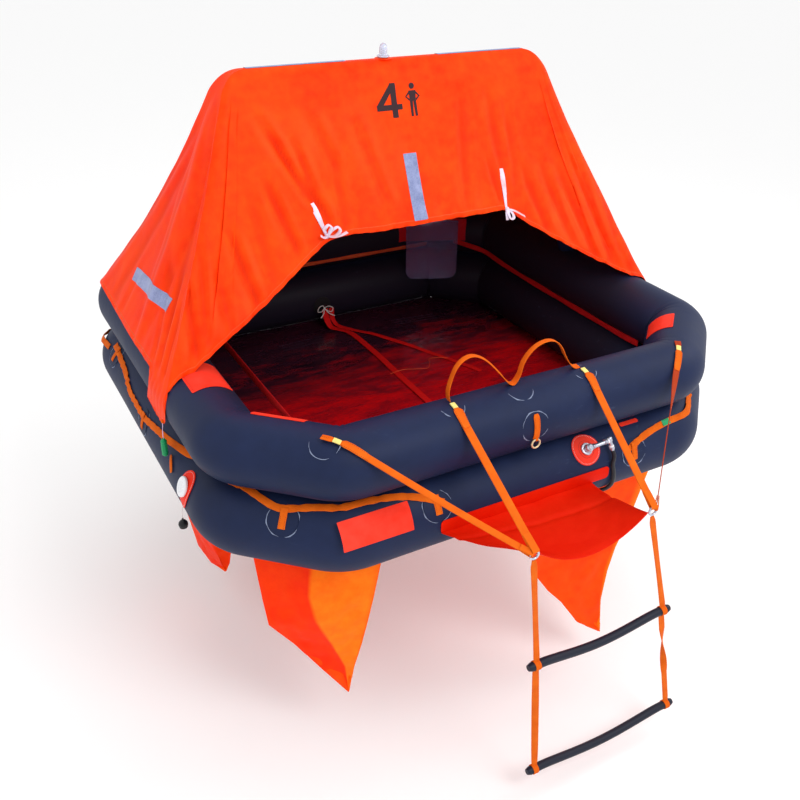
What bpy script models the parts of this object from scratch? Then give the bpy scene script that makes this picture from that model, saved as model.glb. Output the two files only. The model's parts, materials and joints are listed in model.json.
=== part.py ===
"""Four-person inflatable life raft with a tent canopy, afloat: origin at the waterline, centred in plan.

X runs to the right along the boarding side, Y to the back, Z up. All sizes are in metres.
"""
import math

import bmesh
import bpy
from mathutils import Vector

# Clearance that touching pieces keep
GAP = 0.0003

# Buoyancy tubes: an eight-sided plan with rounded bends
HALF_X = 0.829
HALF_Y = 0.787
CUT_X = 0.235
CUT_Y = 0.222
BEND = 0.05
LOWER_R = 0.120
UPPER_R = 0.1035
LOWER_Z = 0.090
UPPER_Z = LOWER_Z + LOWER_R + UPPER_R + GAP
HULL_BOTTOM = LOWER_Z - LOWER_R

# Floor
FLOOR_THICK = 0.010

# Canopy arch and canopy
ARCH_Y = 0.060
ARCH_R = 0.040
RIDGE_HALF = 0.560
RIDGE_Z = 1.176
RIDGE_WIDTH = 0.060
CLOTH = 0.004
SEAM = 0.0008
REAR_HEM_STEP = 0.042
TIE_X = 0.330
TIE_Y = -0.167
TIE_Z = 0.707
FOOT_Y = -0.330
FOOT_OUTER_Y = -0.300
FOOT_STEPS = 4
HEM_ANGLE = math.radians(33)
CORNER_HEM_ANGLE = math.radians(41)
BACK_HEM_ANGLE = math.radians(48)
HEM_BACK_Y = 0.606
CANOPY_ROWS = 6
TAIL_X = HALF_X + UPPER_R + 0.0016
TAIL_THICK = 0.003

# Webbing
WEB_WIDTH = 0.025
WEB_THICK = 0.003

# Boarding gear: straps to two rings, a ramp and a rung ladder below them
BOARD_X = -0.025
STRAP_SPREAD = 0.230
RING_SPREAD = 0.205
RING_Y = -1.187
RING_Z = 0.160
RING_R = 0.013
RING_WIRE = 0.0035
RUNG_R = 0.0135
RUNG_SAG = 0.022
UPPER_RUNG = (-0.189, 0.325, -0.270)
LOWER_RUNG = (-0.140, 0.445, -0.752)
PIN_PLAY = 0.0008

# Handhold loops: places along X and rises above the tube
HANDHOLD_RISE = 0.132
HANDHOLD_ROUTE = (
    (-0.255, 0), (-0.261, 0.03), (-0.256, 0.066), (-0.244, 0.104), (-0.222, 0.127), (-0.193, 0.132),
    (-0.160, 0.117),
    (-0.132, 0.094), (-0.107, 0.068), (-0.080, 0.038), (-0.056, 0.010), (-0.036, 0), (-0.020, 0.024),
    (-0.012, 0.064), (0.006, 0.095), (0.033, 0.115), (0.067, 0.121), (0.098, 0.110), (0.122, 0.085),
    (0.140, 0.056),
    (0.164, 0.022), (0.186, 0.002), (0.204, 0),
)

# Fittings: distance along the tube and height angle round it, in degrees
TOW_X = -0.022
TOW_RING_R = 0.014
TOW_WIRE = 0.003
INFLATION_AT = (0.195, 46)
RELIEF_AT = (0.448, 24)
TEE_X = 0.272
HOSE_R = 0.0065
CYLINDER_R = 0.050
CYLINDER_Y = -0.700
RIGHTING_X = -0.20
LINE_SAG = 12
CORD_R = 0.0011
POUCH_HALF = 0.115
POUCH_RANGE = (0.030, 0.300)
POUCH_CORNER = 0.040


def finish(colour, roughness=0.6, metallic=0.0):
    """One plain material for a finish."""
    material = bpy.data.materials.new("finish")
    material.use_nodes = True
    shader = material.node_tree.nodes["Principled BSDF"]
    shader.inputs["Base Color"].default_value = (*colour, 1.0)
    shader.inputs["Roughness"].default_value = roughness
    shader.inputs["Metallic"].default_value = metallic
    return material


def tube_rubber():
    return finish((0.013, 0.018, 0.06), 0.5)


def canopy_cloth():
    return finish((1.0, 0.06, 0.01), 0.55)


def orange_webbing():
    return finish((1.0, 0.17, 0.01), 0.75)


def place(name, mesh, material, smooth=False):
    """Put a mesh in the scene as one named piece."""
    piece = bpy.data.objects.new(name, mesh)
    bpy.context.scene.collection.objects.link(piece)
    mesh.materials.append(material)
    for face in mesh.polygons:
        face.use_smooth = smooth
    return piece


def from_bmesh(name, shape, material, smooth=False):
    """Close off a bmesh into a piece with its faces pointing out."""
    bmesh.ops.recalc_face_normals(shape, faces=shape.faces)
    mesh = bpy.data.meshes.new(name)
    shape.to_mesh(mesh)
    shape.free()
    return place(name, mesh, material, smooth)


def pipe(name, points, radius, material, cyclic=False, sides=12):
    """A round tube along a line of points, as a bevelled curve."""
    curve = bpy.data.curves.new(name, "CURVE")
    curve.dimensions = "3D"
    curve.twist_mode = "Z_UP" if cyclic else "MINIMUM"
    curve.bevel_depth = radius
    curve.bevel_resolution = (sides - 4) // 2
    curve.use_fill_caps = not cyclic
    spline = curve.splines.new("POLY")
    spline.points.add(len(points) - 1)
    for point, place_at in zip(spline.points, points):
        point.co = (*place_at, 1.0)
    spline.use_cyclic_u = cyclic
    spline.use_smooth = True
    piece = bpy.data.objects.new(name, curve)
    bpy.context.scene.collection.objects.link(piece)
    curve.materials.append(material)
    return piece


def grid_slab(name, outer, inner, material, smooth=False):
    """A thin closed sheet between two matching grids of points."""
    shape = bmesh.new()
    rows = len(outer)
    columns = len(outer[0])
    top = [[shape.verts.new(point) for point in row] for row in outer]
    bottom = [[shape.verts.new(point) for point in row] for row in inner]
    for r in range(rows - 1):
        for c in range(columns - 1):
            shape.faces.new((top[r][c], top[r][c + 1], top[r + 1][c + 1], top[r + 1][c]))
            shape.faces.new((bottom[r][c], bottom[r + 1][c], bottom[r + 1][c + 1], bottom[r][c + 1]))
    rim = [(0, c) for c in range(columns)] + [(r, columns - 1) for r in range(1, rows)]
    rim += [(rows - 1, c) for c in range(columns - 2, -1, -1)] + [(r, 0) for r in range(rows - 2, 0, -1)]
    for (r0, c0), (r1, c1) in zip(rim, rim[1:] + rim[:1]):
        shape.faces.new((top[r0][c0], bottom[r0][c0], bottom[r1][c1], top[r1][c1]))
    return from_bmesh(name, shape, material, smooth)


def webbing(name, points, facings, material, width=WEB_WIDTH, thick=WEB_THICK):
    """A flat strap along points; each facing is the way its broad side looks there."""
    points = [Vector(point) for point in points]
    top = []
    bottom = []
    for i, point in enumerate(points):
        along = (points[min(i + 1, len(points) - 1)] - points[max(i - 1, 0)]).normalized()
        side = along.cross(Vector(facings[i])).normalized()
        out = side.cross(along).normalized()
        top.append([point + side * width / 2 + out * thick / 2, point - side * width / 2 + out * thick / 2])
        inner = point - out * thick / 2
        bottom.append([inner + side * width / 2, inner - side * width / 2])
    return grid_slab(name, top, bottom, material)


def plan_sides():
    """The eight sides of the tubes' centre line in plan, as outward normal and distance."""
    diagonal = Vector((CUT_Y, CUT_X)).normalized()
    distance = diagonal.dot(Vector((HALF_X, HALF_Y - CUT_Y)))
    sides = []
    for sx, sy in ((1, 1), (-1, 1), (-1, -1), (1, -1)):
        sides.append((Vector((diagonal.x * sx, diagonal.y * sy)), distance))
    for normal, reach in (((1, 0), HALF_X), ((-1, 0), HALF_X), ((0, 1), HALF_Y), ((0, -1), HALF_Y)):
        sides.append((Vector(normal), reach))
    return sides


def plan_point(degrees, grow=0.0):
    """Where a ray from the centre meets the plan, grown outwards, and the outward normal there."""
    ray = Vector((math.cos(math.radians(degrees)), math.sin(math.radians(degrees))))
    hits = [((reach + grow) / normal.dot(ray), normal) for normal, reach in plan_sides()
            if normal.dot(ray) > 1e-6]
    length, normal = min(hits, key=lambda hit: hit[0])
    return ray * length, normal


def plan_loop():
    """The tubes' centre line in plan, each of its eight bends rounded."""
    quarter = [Vector((HALF_X, HALF_Y - CUT_Y)), Vector((HALF_X - CUT_X, HALF_Y))]
    corners = []
    for sx, sy, turn in ((1, 1, 1), (-1, 1, -1), (-1, -1, 1), (1, -1, -1)):
        corners += [Vector((p.x * sx, p.y * sy)) for p in quarter[::turn]]
    loop = []
    for i, corner in enumerate(corners):
        start = corner + (corners[i - 1] - corner).normalized() * BEND
        end = corner + (corners[(i + 1) % 8] - corner).normalized() * BEND
        for step in range(5):
            t = step / 4
            loop.append(start * (1 - t) ** 2 + corner * 2 * t * (1 - t) + end * t ** 2)
    return loop


def build_tubes():
    """The two stacked buoyancy tubes."""
    tubes = (("lower_tube", LOWER_R, LOWER_Z, 36), ("upper_tube", UPPER_R, UPPER_Z, 24))
    for name, radius, height, sides in tubes:
        points = [(p.x, p.y, height) for p in plan_loop()]
        pipe(name, points, radius, tube_rubber(), cyclic=True, sides=sides)


def grown_loop(distance):
    """The rounded plan, moved outwards by distance."""
    loop = plan_loop()
    grown = []
    for i, point in enumerate(loop):
        along = (loop[(i + 1) % len(loop)] - loop[i - 1]).normalized()
        grown.append(point + Vector((along.y, -along.x)) * distance)
    return grown


def build_floor():
    """The floor sheet, bonded inside the foot of the lower tube."""
    rise = LOWER_R - FLOOR_THICK
    reach = math.sqrt(LOWER_R ** 2 - rise ** 2) + 0.0015
    shape = bmesh.new()
    loop = [shape.verts.new((p.x, p.y, HULL_BOTTOM)) for p in grown_loop(-reach)]
    bottom = shape.faces.new(loop)
    lifted = bmesh.ops.extrude_face_region(shape, geom=[bottom])["geom"]
    for vert in (item for item in lifted if isinstance(item, bmesh.types.BMVert)):
        vert.co.z += FLOOR_THICK
    from_bmesh("floor_sheet", shape, finish((0.12, 0.006, 0.008), 0.35))


def arch_centre():
    """The arch's centre line: a level top with two legs, its bends rounded."""
    lean = (HALF_X + UPPER_R * math.cos(HEM_ANGLE) - RIDGE_HALF) / (RIDGE_Z - UPPER_Z)
    top_z = RIDGE_Z - ARCH_R - CLOTH - 0.004
    shoulder = RIDGE_HALF - 0.031
    foot_z = UPPER_Z + UPPER_R * 0.9
    foot_x = shoulder + lean * (top_z - foot_z)
    corner = Vector((shoulder, ARCH_Y, top_z))
    foot = Vector((foot_x, ARCH_Y, foot_z))
    start = corner - Vector((0.07, 0, 0))
    end = corner + (foot - corner).normalized() * 0.07
    right = [start * (1 - t) ** 2 + corner * 2 * t * (1 - t) + end * t ** 2 for t in (0, 0.25, 0.5, 0.75, 1)]
    right.append(foot)
    left = [Vector((-p.x, p.y, p.z)) for p in reversed(right)]
    return left + right


def build_arch():
    """The inflated canopy arch, its feet cut to sit on the upper tube."""
    arch = pipe("arch_tube", arch_centre(), ARCH_R, tube_rubber(), sides=16)
    bpy.context.view_layer.update()
    graph = bpy.context.evaluated_depsgraph_get()
    mesh = bpy.data.meshes.new_from_object(arch.evaluated_get(graph))
    bpy.data.objects.remove(arch)
    arch = bpy.data.objects.new("arch_tube", mesh)
    bpy.context.scene.collection.objects.link(arch)
    for side in (-1, 1):
        shape = bmesh.new()
        reach = UPPER_R + GAP
        bmesh.ops.create_cone(shape, cap_ends=True, segments=64, radius1=reach, radius2=reach,
                              depth=0.4)
        mesh = bpy.data.meshes.new("arch_seat")
        shape.to_mesh(mesh)
        shape.free()
        cutter = bpy.data.objects.new("arch_seat", mesh)
        bpy.context.scene.collection.objects.link(cutter)
        cutter.rotation_euler = (math.pi / 2, 0, 0)
        cutter.location = (side * HALF_X, ARCH_Y, UPPER_Z)
        cutter.hide_render = True
        cutter.display_type = "WIRE"
        cut = arch.modifiers.new("seat", "BOOLEAN")
        cut.operation = "DIFFERENCE"
        cut.solver = "EXACT"
        cut.object = cutter


def hem_point(degrees, up=HEM_ANGLE, lift=0.0):
    """A point of the canopy's hem, so far up the outer shoulder of the upper tube."""
    radius = UPPER_R + GAP + CLOTH + lift
    point, normal = plan_point(degrees, radius * math.cos(up))
    return Vector((point.x, point.y, UPPER_Z + radius * math.sin(up)))


def azimuth(x, y):
    return math.degrees(math.atan2(y, x))


def canopy_columns():
    """Ridge and hem ends of the canopy's ruled columns, in order round the raft, with each one's panel."""
    front_y = ARCH_Y - RIDGE_WIDTH / 2
    back_y = ARCH_Y + RIDGE_WIDTH / 2
    hem_x = HALF_X + UPPER_R * math.cos(HEM_ANGLE)
    hem_y = HALF_Y + UPPER_R * math.cos(HEM_ANGLE)
    feet = []
    for step in range(FOOT_STEPS + 1):
        t = step / FOOT_STEPS
        up = math.radians(88) * (1 - t) + HEM_ANGLE * t
        feet.append(hem_point(azimuth(hem_x, FOOT_Y * (1 - t) + FOOT_OUTER_Y * t), up, 0.001))
    foot_top = feet[0]
    tie = Vector((TIE_X, TIE_Y, TIE_Z))
    right = [(Vector((0, front_y, RIDGE_Z)), Vector((0, TIE_Y, TIE_Z - 0.004)))]
    right.append((Vector((TIE_X * 0.9, front_y, RIDGE_Z)), tie))
    middle = (tie + foot_top) / 2 - Vector((0, 0, 0.012))
    right.append((Vector((RIDGE_HALF - 0.06, front_y, RIDGE_Z)), middle))
    for step, foot in enumerate(feet):
        inset = 0.012 * (1 - step / FOOT_STEPS)
        right.append((Vector((RIDGE_HALF - inset, front_y, RIDGE_Z)), foot))
    right.append((Vector((RIDGE_HALF, ARCH_Y, RIDGE_Z)), hem_point(azimuth(hem_x, 0.12))))
    right.append((Vector((RIDGE_HALF, back_y, RIDGE_Z)),
                  hem_point(azimuth(hem_x, HEM_BACK_Y), CORNER_HEM_ANGLE)))
    corner_x = HALF_X - CUT_X + REAR_HEM_STEP
    right.append((Vector((RIDGE_HALF - 0.01, back_y, RIDGE_Z)),
                  hem_point(azimuth(corner_x, hem_y), BACK_HEM_ANGLE)))
    right.append((Vector((0, back_y, RIDGE_Z)), hem_point(90, BACK_HEM_ANGLE)))
    left = [(Vector((-a.x, a.y, a.z)), Vector((-b.x, b.y, b.z))) for a, b in right[1:-1]]
    return right + left[::-1]


HIP = 3 + FOOT_STEPS
CANOPY_PANELS = {
    "canopy_front": (-HIP, HIP),
    "canopy_right": (HIP, HIP + 2),
    "canopy_back": (HIP + 2, HIP + 6),
    "canopy_left": (HIP + 6, HIP + 8),
}


def build_canopy():
    """The tent canopy: sewn panels that meet at the hips, and the sleeve over the arch."""
    columns = canopy_columns()
    count = len(columns)
    outer = [[a.lerp(b, r / (CANOPY_ROWS - 1)) for a, b in columns] for r in range(CANOPY_ROWS)]
    inner = []
    for r in range(CANOPY_ROWS):
        row = []
        for c in range(count):
            down = columns[c][1] - columns[c][0]
            before = (outer[r][c] - outer[r][c - 1]).cross(down).normalized()
            after = (outer[r][(c + 1) % count] - outer[r][c]).cross(down).normalized()
            bisector = before + after
            row.append(outer[r][c] + bisector.normalized() * CLOTH / max(bisector.length / 2, 0.5))
        inner.append(row)
    centre = Vector((0, ARCH_Y, RIDGE_Z * 0.6))
    inwards = (inner[2][0] - outer[2][0]).dot(centre - outer[2][0]) > 0
    if not inwards:
        inner = [[2 * o - i for o, i in zip(a, b)] for a, b in zip(outer, inner)]
    for name, (first, last) in CANOPY_PANELS.items():
        members = [c % count for c in range(first, last + 1)]
        skins = []
        for skin in (outer, inner):
            grid = [[skin[r][c].copy() for c in members] for r in range(CANOPY_ROWS)]
            for row in grid:
                row[0] += (row[1] - row[0]).normalized() * SEAM
                row[-1] += (row[-2] - row[-1]).normalized() * SEAM
            skins.append(grid)
        grid_slab(name, skins[0], skins[1], canopy_cloth())
    edge_x = RIDGE_HALF - 0.002
    edge_y = RIDGE_WIDTH / 2 - 0.0005
    sleeve = [[(x, ARCH_Y + y, RIDGE_Z + GAP + h) for x in (-edge_x, 0, edge_x)]
              for y, h in ((-edge_y, 0), (0, 0.008), (edge_y, 0))]
    lifted = [[(x, y, z + CLOTH) for x, y, z in row] for row in sleeve]
    grid_slab("canopy_ridge", lifted, sleeve, canopy_cloth())


def build_tails():
    """The two canopy tails that hang from the front feet of the canopy over both tubes."""
    for name, side in (("canopy_tail_left", -1), ("canopy_tail_right", 1)):
        levels = ((UPPER_Z + 0.048, HALF_X + 0.0975, -0.300, -0.142), (UPPER_Z, TAIL_X, -0.312, -0.134),
                  (0.285, TAIL_X, -0.304, -0.114), (0.262, TAIL_X, -0.284, -0.104),
                  (0.248, TAIL_X, -0.262, -0.170))
        near = [[(side * x, y0, z), (side * x, y1, z)] for z, x, y0, y1 in levels]
        far = [[(px + side * TAIL_THICK, y, z) for px, y, z in row] for row in near]
        grid_slab(name, far, near, canopy_cloth())


def lathe(name, profile, centre, axis, material, segments=24):
    """Spin a profile of (radius, height) points about an axis through centre."""
    shape = bmesh.new()
    axis = Vector(axis).normalized()
    turn = Vector((0, 0, 1)).rotation_difference(axis)
    rings = []
    for radius, height in profile:
        if radius < 1e-6:
            rings.append([shape.verts.new(Vector(centre) + turn @ Vector((0, 0, height)))])
            continue
        ring = []
        for i in range(segments):
            angle = 2 * math.pi * i / segments
            spot = Vector((radius * math.cos(angle), radius * math.sin(angle), height))
            ring.append(shape.verts.new(Vector(centre) + turn @ spot))
        rings.append(ring)
    for a, b in zip(rings, rings[1:]):
        for i in range(segments):
            j = (i + 1) % segments
            quad = [a[i % len(a)], a[j % len(a)], b[j % len(b)], b[i % len(b)]]
            shape.faces.new(list(dict.fromkeys(quad)))
    for ring in (rings[0], rings[-1]):
        if len(ring) > 1:
            shape.faces.new(ring)
    return from_bmesh(name, shape, material, True)


def ring(name, centre, normal, radius, wire, material, segments=24, sides=10):
    """A wire ring lying square to normal."""
    turn = Vector((0, 0, 1)).rotation_difference(Vector(normal))
    points = []
    for i in range(segments):
        angle = 2 * math.pi * i / segments
        spot = Vector((radius * math.cos(angle), radius * math.sin(angle), 0))
        points.append(Vector(centre) + turn @ spot)
    return pipe(name, points, wire, material, cyclic=True, sides=sides)


def build_light():
    """The clear dome lamp on the ridge."""
    base = RIDGE_Z + 0.008 + CLOTH + 2 * GAP
    profile = [(0.020, 0), (0.020, 0.005), (0.012, 0.008), (0.013, 0.020), (0.012, 0.030), (0.008, 0.038),
               (0, 0.041)]
    lathe("canopy_light", profile, (-0.028, ARCH_Y, base), (0, 0, 1), finish((0.8, 0.85, 0.95), 0.15))


def tube_spot(side_normal, along, height_angle, radius, tube_z, reach, lift):
    """A point lifted off a straight side of a tube, with the way out there."""
    normal = Vector(side_normal)
    tangent = Vector((-normal.y, normal.x))
    level = math.cos(height_angle)
    out = Vector((normal.x * level, normal.y * level, math.sin(height_angle)))
    base = normal * reach + tangent * along
    return Vector((base.x, base.y, tube_z)) + out * (radius + lift), out


def tube_patch(name, side_normal, reach, tube_z, radius, centre, outline, thick, material, lift=2 * GAP):
    """A thin patch that follows a straight side of a tube; outline holds (along, round) in metres."""
    along0, angle0 = centre
    rings = (0.0, 0.35, 0.7, 1.0)
    shape = bmesh.new()
    skins = []
    for level in (lift, lift + thick):
        layers = []
        for k in rings:
            spots = outline if k else outline[:1]
            layer = []
            for a, b in spots:
                around = angle0 + b * k / radius
                spot, out = tube_spot(side_normal, along0 + a * k, around, radius, tube_z, reach,
                                      level)
                layer.append(shape.verts.new(spot))
            layers.append(layer)
        skins.append(layers)
    count = len(outline)
    for layers in skins:
        for a, b in zip(layers, layers[1:]):
            for i in range(count):
                j = (i + 1) % count
                quad = [a[i % len(a)], a[j % len(a)], b[j], b[i]]
                shape.faces.new(list(dict.fromkeys(quad)))
    for i in range(count):
        j = (i + 1) % count
        shape.faces.new((skins[0][-1][i], skins[0][-1][j], skins[1][-1][j], skins[1][-1][i]))
    return from_bmesh(name, shape, material)


def round_outline(radius, count=24):
    return [(radius * math.cos(2 * math.pi * i / count), radius * math.sin(2 * math.pi * i / count))
            for i in range(count)]


def box_outline(half_along, half_round, steps=6):
    """A rectangle's outline, with its sides divided so that they follow a round tube."""
    corners = [(half_along, -half_round), (half_along, half_round), (-half_along, half_round),
               (-half_along, -half_round)]
    outline = []
    for (a0, b0), (a1, b1) in zip(corners, corners[1:] + corners[:1]):
        outline += [(a0 + (a1 - a0) * i / steps, b0 + (b1 - b0) * i / steps) for i in range(steps)]
    return outline


def build_pockets():
    """The four ballast pockets under the hull: water bags whose corners hang to one lowest point."""
    top = HULL_BOTTOM - GAP
    pockets = {
        "front_left": ([((-0.80, -0.60), (-0.784, -0.62, -0.224), (-0.777, -0.64, -0.312),
                         (-0.704, -0.66, -0.409), (-0.627, -0.69, -0.529)),
                        ((-0.66, -0.735), (-0.675, -0.735, -0.164), (-0.652, -0.735, -0.275),
                         (-0.605, -0.73, -0.393), (-0.558, -0.725, -0.516)),
                        ((-0.46, -0.785), (-0.488, -0.78, -0.199), (-0.503, -0.77, -0.303),
                         (-0.519, -0.755, -0.415), (-0.535, -0.735, -0.523)),
                        ((-0.47, -0.60), (-0.49, -0.62, -0.21), (-0.50, -0.64, -0.31),
                         (-0.52, -0.67, -0.42), (-0.535, -0.70, -0.53))], (-0.546, -0.72, -0.65)),
        "front_right": ([((0.10, -0.735), (0.16, -0.75, -0.406), (0.211, -0.77, -0.484),
                          (0.261, -0.79, -0.541), (0.334, -0.81, -0.653)),
                         ((0.66, -0.735), (0.566, -0.75, -0.31), (0.503, -0.77, -0.40),
                          (0.463, -0.79, -0.475), (0.434, -0.81, -0.588)),
                         ((0.61, -0.50), (0.55, -0.57, -0.23), (0.50, -0.65, -0.40),
                          (0.46, -0.72, -0.52), (0.44, -0.79, -0.65)),
                         ((0.15, -0.50), (0.22, -0.57, -0.33), (0.26, -0.65, -0.45),
                          (0.32, -0.72, -0.54), (0.38, -0.78, -0.66))], (0.436, -0.83, -0.729)),
        "rear_left": ([((-0.83, -0.02), (-0.80, -0.01, -0.20), (-0.77, 0.0, -0.40),
                        (-0.74, 0.01, -0.52), (-0.72, 0.02, -0.60)),
                       ((-0.83, 0.34), (-0.80, 0.335, -0.28), (-0.76, 0.32, -0.52),
                        (-0.745, 0.25, -0.66), (-0.735, 0.12, -0.655)),
                       ((-0.62, 0.34), (-0.64, 0.33, -0.28), (-0.66, 0.30, -0.50),
                        (-0.68, 0.23, -0.62), (-0.69, 0.11, -0.635)),
                       ((-0.62, -0.02), (-0.64, -0.01, -0.20), (-0.66, 0.0, -0.40),
                        (-0.68, 0.01, -0.52), (-0.69, 0.02, -0.60))], (-0.705, 0.03, -0.643)),
    }
    rear = pockets["rear_left"]
    pockets["rear_right"] = ([tuple((-spot[0], 0.32 - spot[1], *spot[2:]) for spot in track)
                              for track in rear[0]], (0.705, 0.29, -0.643))
    for name, (tracks, tip) in pockets.items():
        shape = bmesh.new()
        rings = []
        for k in range(5):
            rings.append([shape.verts.new(track[k] if k else (*track[0], top)) for track in tracks])
        lowest = shape.verts.new(tip)
        for a, b in zip(rings, rings[1:]):
            for i in range(4):
                shape.faces.new((a[i], a[(i + 1) % 4], b[(i + 1) % 4], b[i]))
        for i in range(4):
            shape.faces.new((rings[-1][i], rings[-1][(i + 1) % 4], lowest))
        shape.faces.new(rings[0])
        bmesh.ops.triangulate(shape, faces=shape.faces)
        from_bmesh("ballast_pocket_" + name, shape, finish((1.0, 0.12, 0.01), 0.6))


def build_boarding_gear():
    """Boarding straps, side straps, their two rings, the ramp sheet and the handhold loops."""
    leave = math.radians(57.4)
    lift = UPPER_R + GAP + WEB_THICK / 2
    front = -HALF_Y
    white = finish((0.9, 0.9, 0.9), 0.4)
    for side, sign in (("left", -1), ("right", 1)):
        ring_at = Vector((BOARD_X + sign * RING_SPREAD, RING_Y, RING_Z))
        ring("ring_" + side, ring_at, (0, 1, 0), RING_R, RING_WIRE, white)
        top = []
        facing = []
        for degrees in (86, 80, 74, 68, 62, 56.5):
            angle = math.radians(degrees)
            top.append((BOARD_X + sign * STRAP_SPREAD, front - lift * math.cos(angle),
                        UPPER_Z + lift * math.sin(angle)))
            facing.append((0, -math.cos(angle), math.sin(angle)))
        wire_top = ring_at + Vector((0, 0, RING_R))
        end = wire_top + (Vector(top[-1]) - wire_top).normalized() * (RING_WIRE + 0.0004)
        webbing("boarding_strap_" + side, top + [end], facing + [facing[-1]], orange_webbing())
    build_side_straps(lift + 0.0007, front, leave)
    build_ramp()
    build_handhold(front)


def build_side_straps(lift, front, leave):
    """The two slack straps that stay the rings from patches further out along the tube."""
    straps = (("side_strap_left", -1, -0.650, 0.06), ("side_strap_right", 1, 0.596, 0.05))
    for name, sign, anchor_x, slide in straps:
        target = Vector((BOARD_X + sign * (RING_SPREAD + RING_R * 0.82), RING_Y, RING_Z + RING_R * 0.57))
        points = []
        facing = []
        for step in range(5):
            angle = math.radians(90) + (leave - math.radians(92)) * step / 4
            x = anchor_x - sign * slide * step / 4
            points.append(Vector((x, front - lift * math.cos(angle), UPPER_Z + lift * math.sin(angle))))
            facing.append(Vector((0, -math.cos(angle), math.sin(angle))))
        away = target - points[-1]
        points.append(target - away.normalized() * (RING_WIRE + 0.0004))
        facing.append(Vector((0, -0.5, 0.85)))
        webbing(name, points, facing, orange_webbing(), width=0.020)


def build_ramp():
    """The boarding ramp: a sheet bonded to the lower tube that hangs out to the rings."""
    root_z = 0.075
    root_y = -(HALF_Y + math.sqrt(LOWER_R ** 2 - (root_z - LOWER_Z) ** 2)) - 2 * GAP
    outer = []
    inner = []
    for r in range(6):
        t = r / 5
        row = []
        for c in range(7):
            u = c / 3 - 1
            half = 0.272 + (RING_SPREAD - RING_R - RING_WIRE - 2 * GAP - 0.272) * t
            x = -0.070 + (BOARD_X + 0.070) * t + u * half
            y = root_y + (RING_Y - root_y) * t
            z = root_z + (RING_Z - root_z) * t ** 1.5 - 0.075 * t * (1 - u * u)
            row.append((x, y, z))
        outer.append(row)
        inner.append([(x, y, z - 0.003) for x, y, z in row])
    grid_slab("boarding_ramp", outer, inner, finish((0.85, 0.03, 0.005), 0.6))


def build_handhold(front):
    """The two webbing handhold loops that stand on the front tube, one strap with three seats."""
    seat = UPPER_Z + UPPER_R + GAP + WEB_THICK / 2 + 0.0002
    points = []
    for x, rise in HANDHOLD_ROUTE:
        points.append(Vector((x, front + 0.012 * (1 - rise / HANDHOLD_RISE), seat + rise)))
    points = smooth_route(points, 2)
    facing = []
    for i, point in enumerate(points):
        point.z = max(point.z, seat)
        along = points[min(i + 1, len(points) - 1)] - points[max(i - 1, 0)]
        facing.append(Vector((-along.z, 0, along.x)))
    webbing("handhold_loops", points, facing, orange_webbing(), width=0.022)


def build_ladder():
    """The two-rung webbing ladder: its upper and lower stiles and the two bowed rungs."""
    dark = finish((0.02, 0.025, 0.06), 0.5)
    pin_z = RING_Z - RING_R
    tops = [Vector((BOARD_X + sign * RING_SPREAD, RING_Y, pin_z)) for sign in (-1, 1)]
    starts = [RING_WIRE + PIN_PLAY, RUNG_R + PIN_PLAY]
    steps = (("upper", UPPER_RUNG, starts[0]), ("lower", LOWER_RUNG, starts[1]))
    for level, (left, right, height), start in steps:
        ends = [Vector((left + 0.016, RING_Y, height)), Vector((right - 0.016, RING_Y, height))]
        for side, top, end in zip(("left", "right"), tops, ends):
            low = end.copy()
            low.z += RUNG_R + GAP
            high = top.copy()
            high.z -= start
            plumb = Vector((0, 0, 0.012))
            webbing("ladder_stile_" + level + "_" + side, [high, high - plumb, low + plumb, low],
                    [(0, -1, 0)] * 4, orange_webbing(), width=0.022)
        tops = ends
        points = []
        for i in range(17):
            t = i / 16
            bow = math.sin(math.pi * min(max((t - 0.08) / 0.84, 0), 1)) ** 1.3
            points.append((left + (right - left) * t, RING_Y, height - RUNG_SAG * bow))
        pipe("ladder_rung_" + level, points, RUNG_R, dark, sides=16)


def hugging_line(name, anchors):
    """A webbing line round the lower tube through (bearing, rise) anchors, drooping on its long runs."""
    points = []
    facing = []
    lift = LOWER_R + 0.0009 + WEB_THICK / 2
    for (start, rise0), (end, rise1) in zip(anchors, anchors[1:]):
        steps = max(3, round((end - start) / 3.5))
        droop = LINE_SAG if end - start > 20 else 0
        for i in range(steps + (end == anchors[-1][0])):
            t = i / steps
            angle = math.radians(rise0 + (rise1 - rise0) * t - droop * 4 * t * (1 - t))
            spot, normal = plan_point(start + (end - start) * t, lift * math.cos(angle))
            points.append((spot.x, spot.y, LOWER_Z + lift * math.sin(angle)))
            facing.append((normal.x * math.cos(angle), normal.y * math.cos(angle), math.sin(angle)))
    webbing(name, points, facing, orange_webbing(), width=0.022)


def build_grab_lines():
    """The outer grab line, in three parts."""
    hugging_line("grab_line_left", ((153, 50), (164, 40), (170, 27), (181, 25), (194, 42), (204, 55),
                                    (212, 67), (218, 70), (224, 53), (230, 65), (236, 70), (241, 64),
                                    (244.5, 56), (247.5, 46), (250, 36)))
    hugging_line("grab_line_right", ((291, 26), (292.5, 31), (296, 41), (301, 49), (310, 53), (318, 53),
                                     (332, 45), (359, 38), (387, 38)))
    hugging_line("grab_line_back", ((28, 38), (69, 38), (111, 38), (152, 38)))


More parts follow.
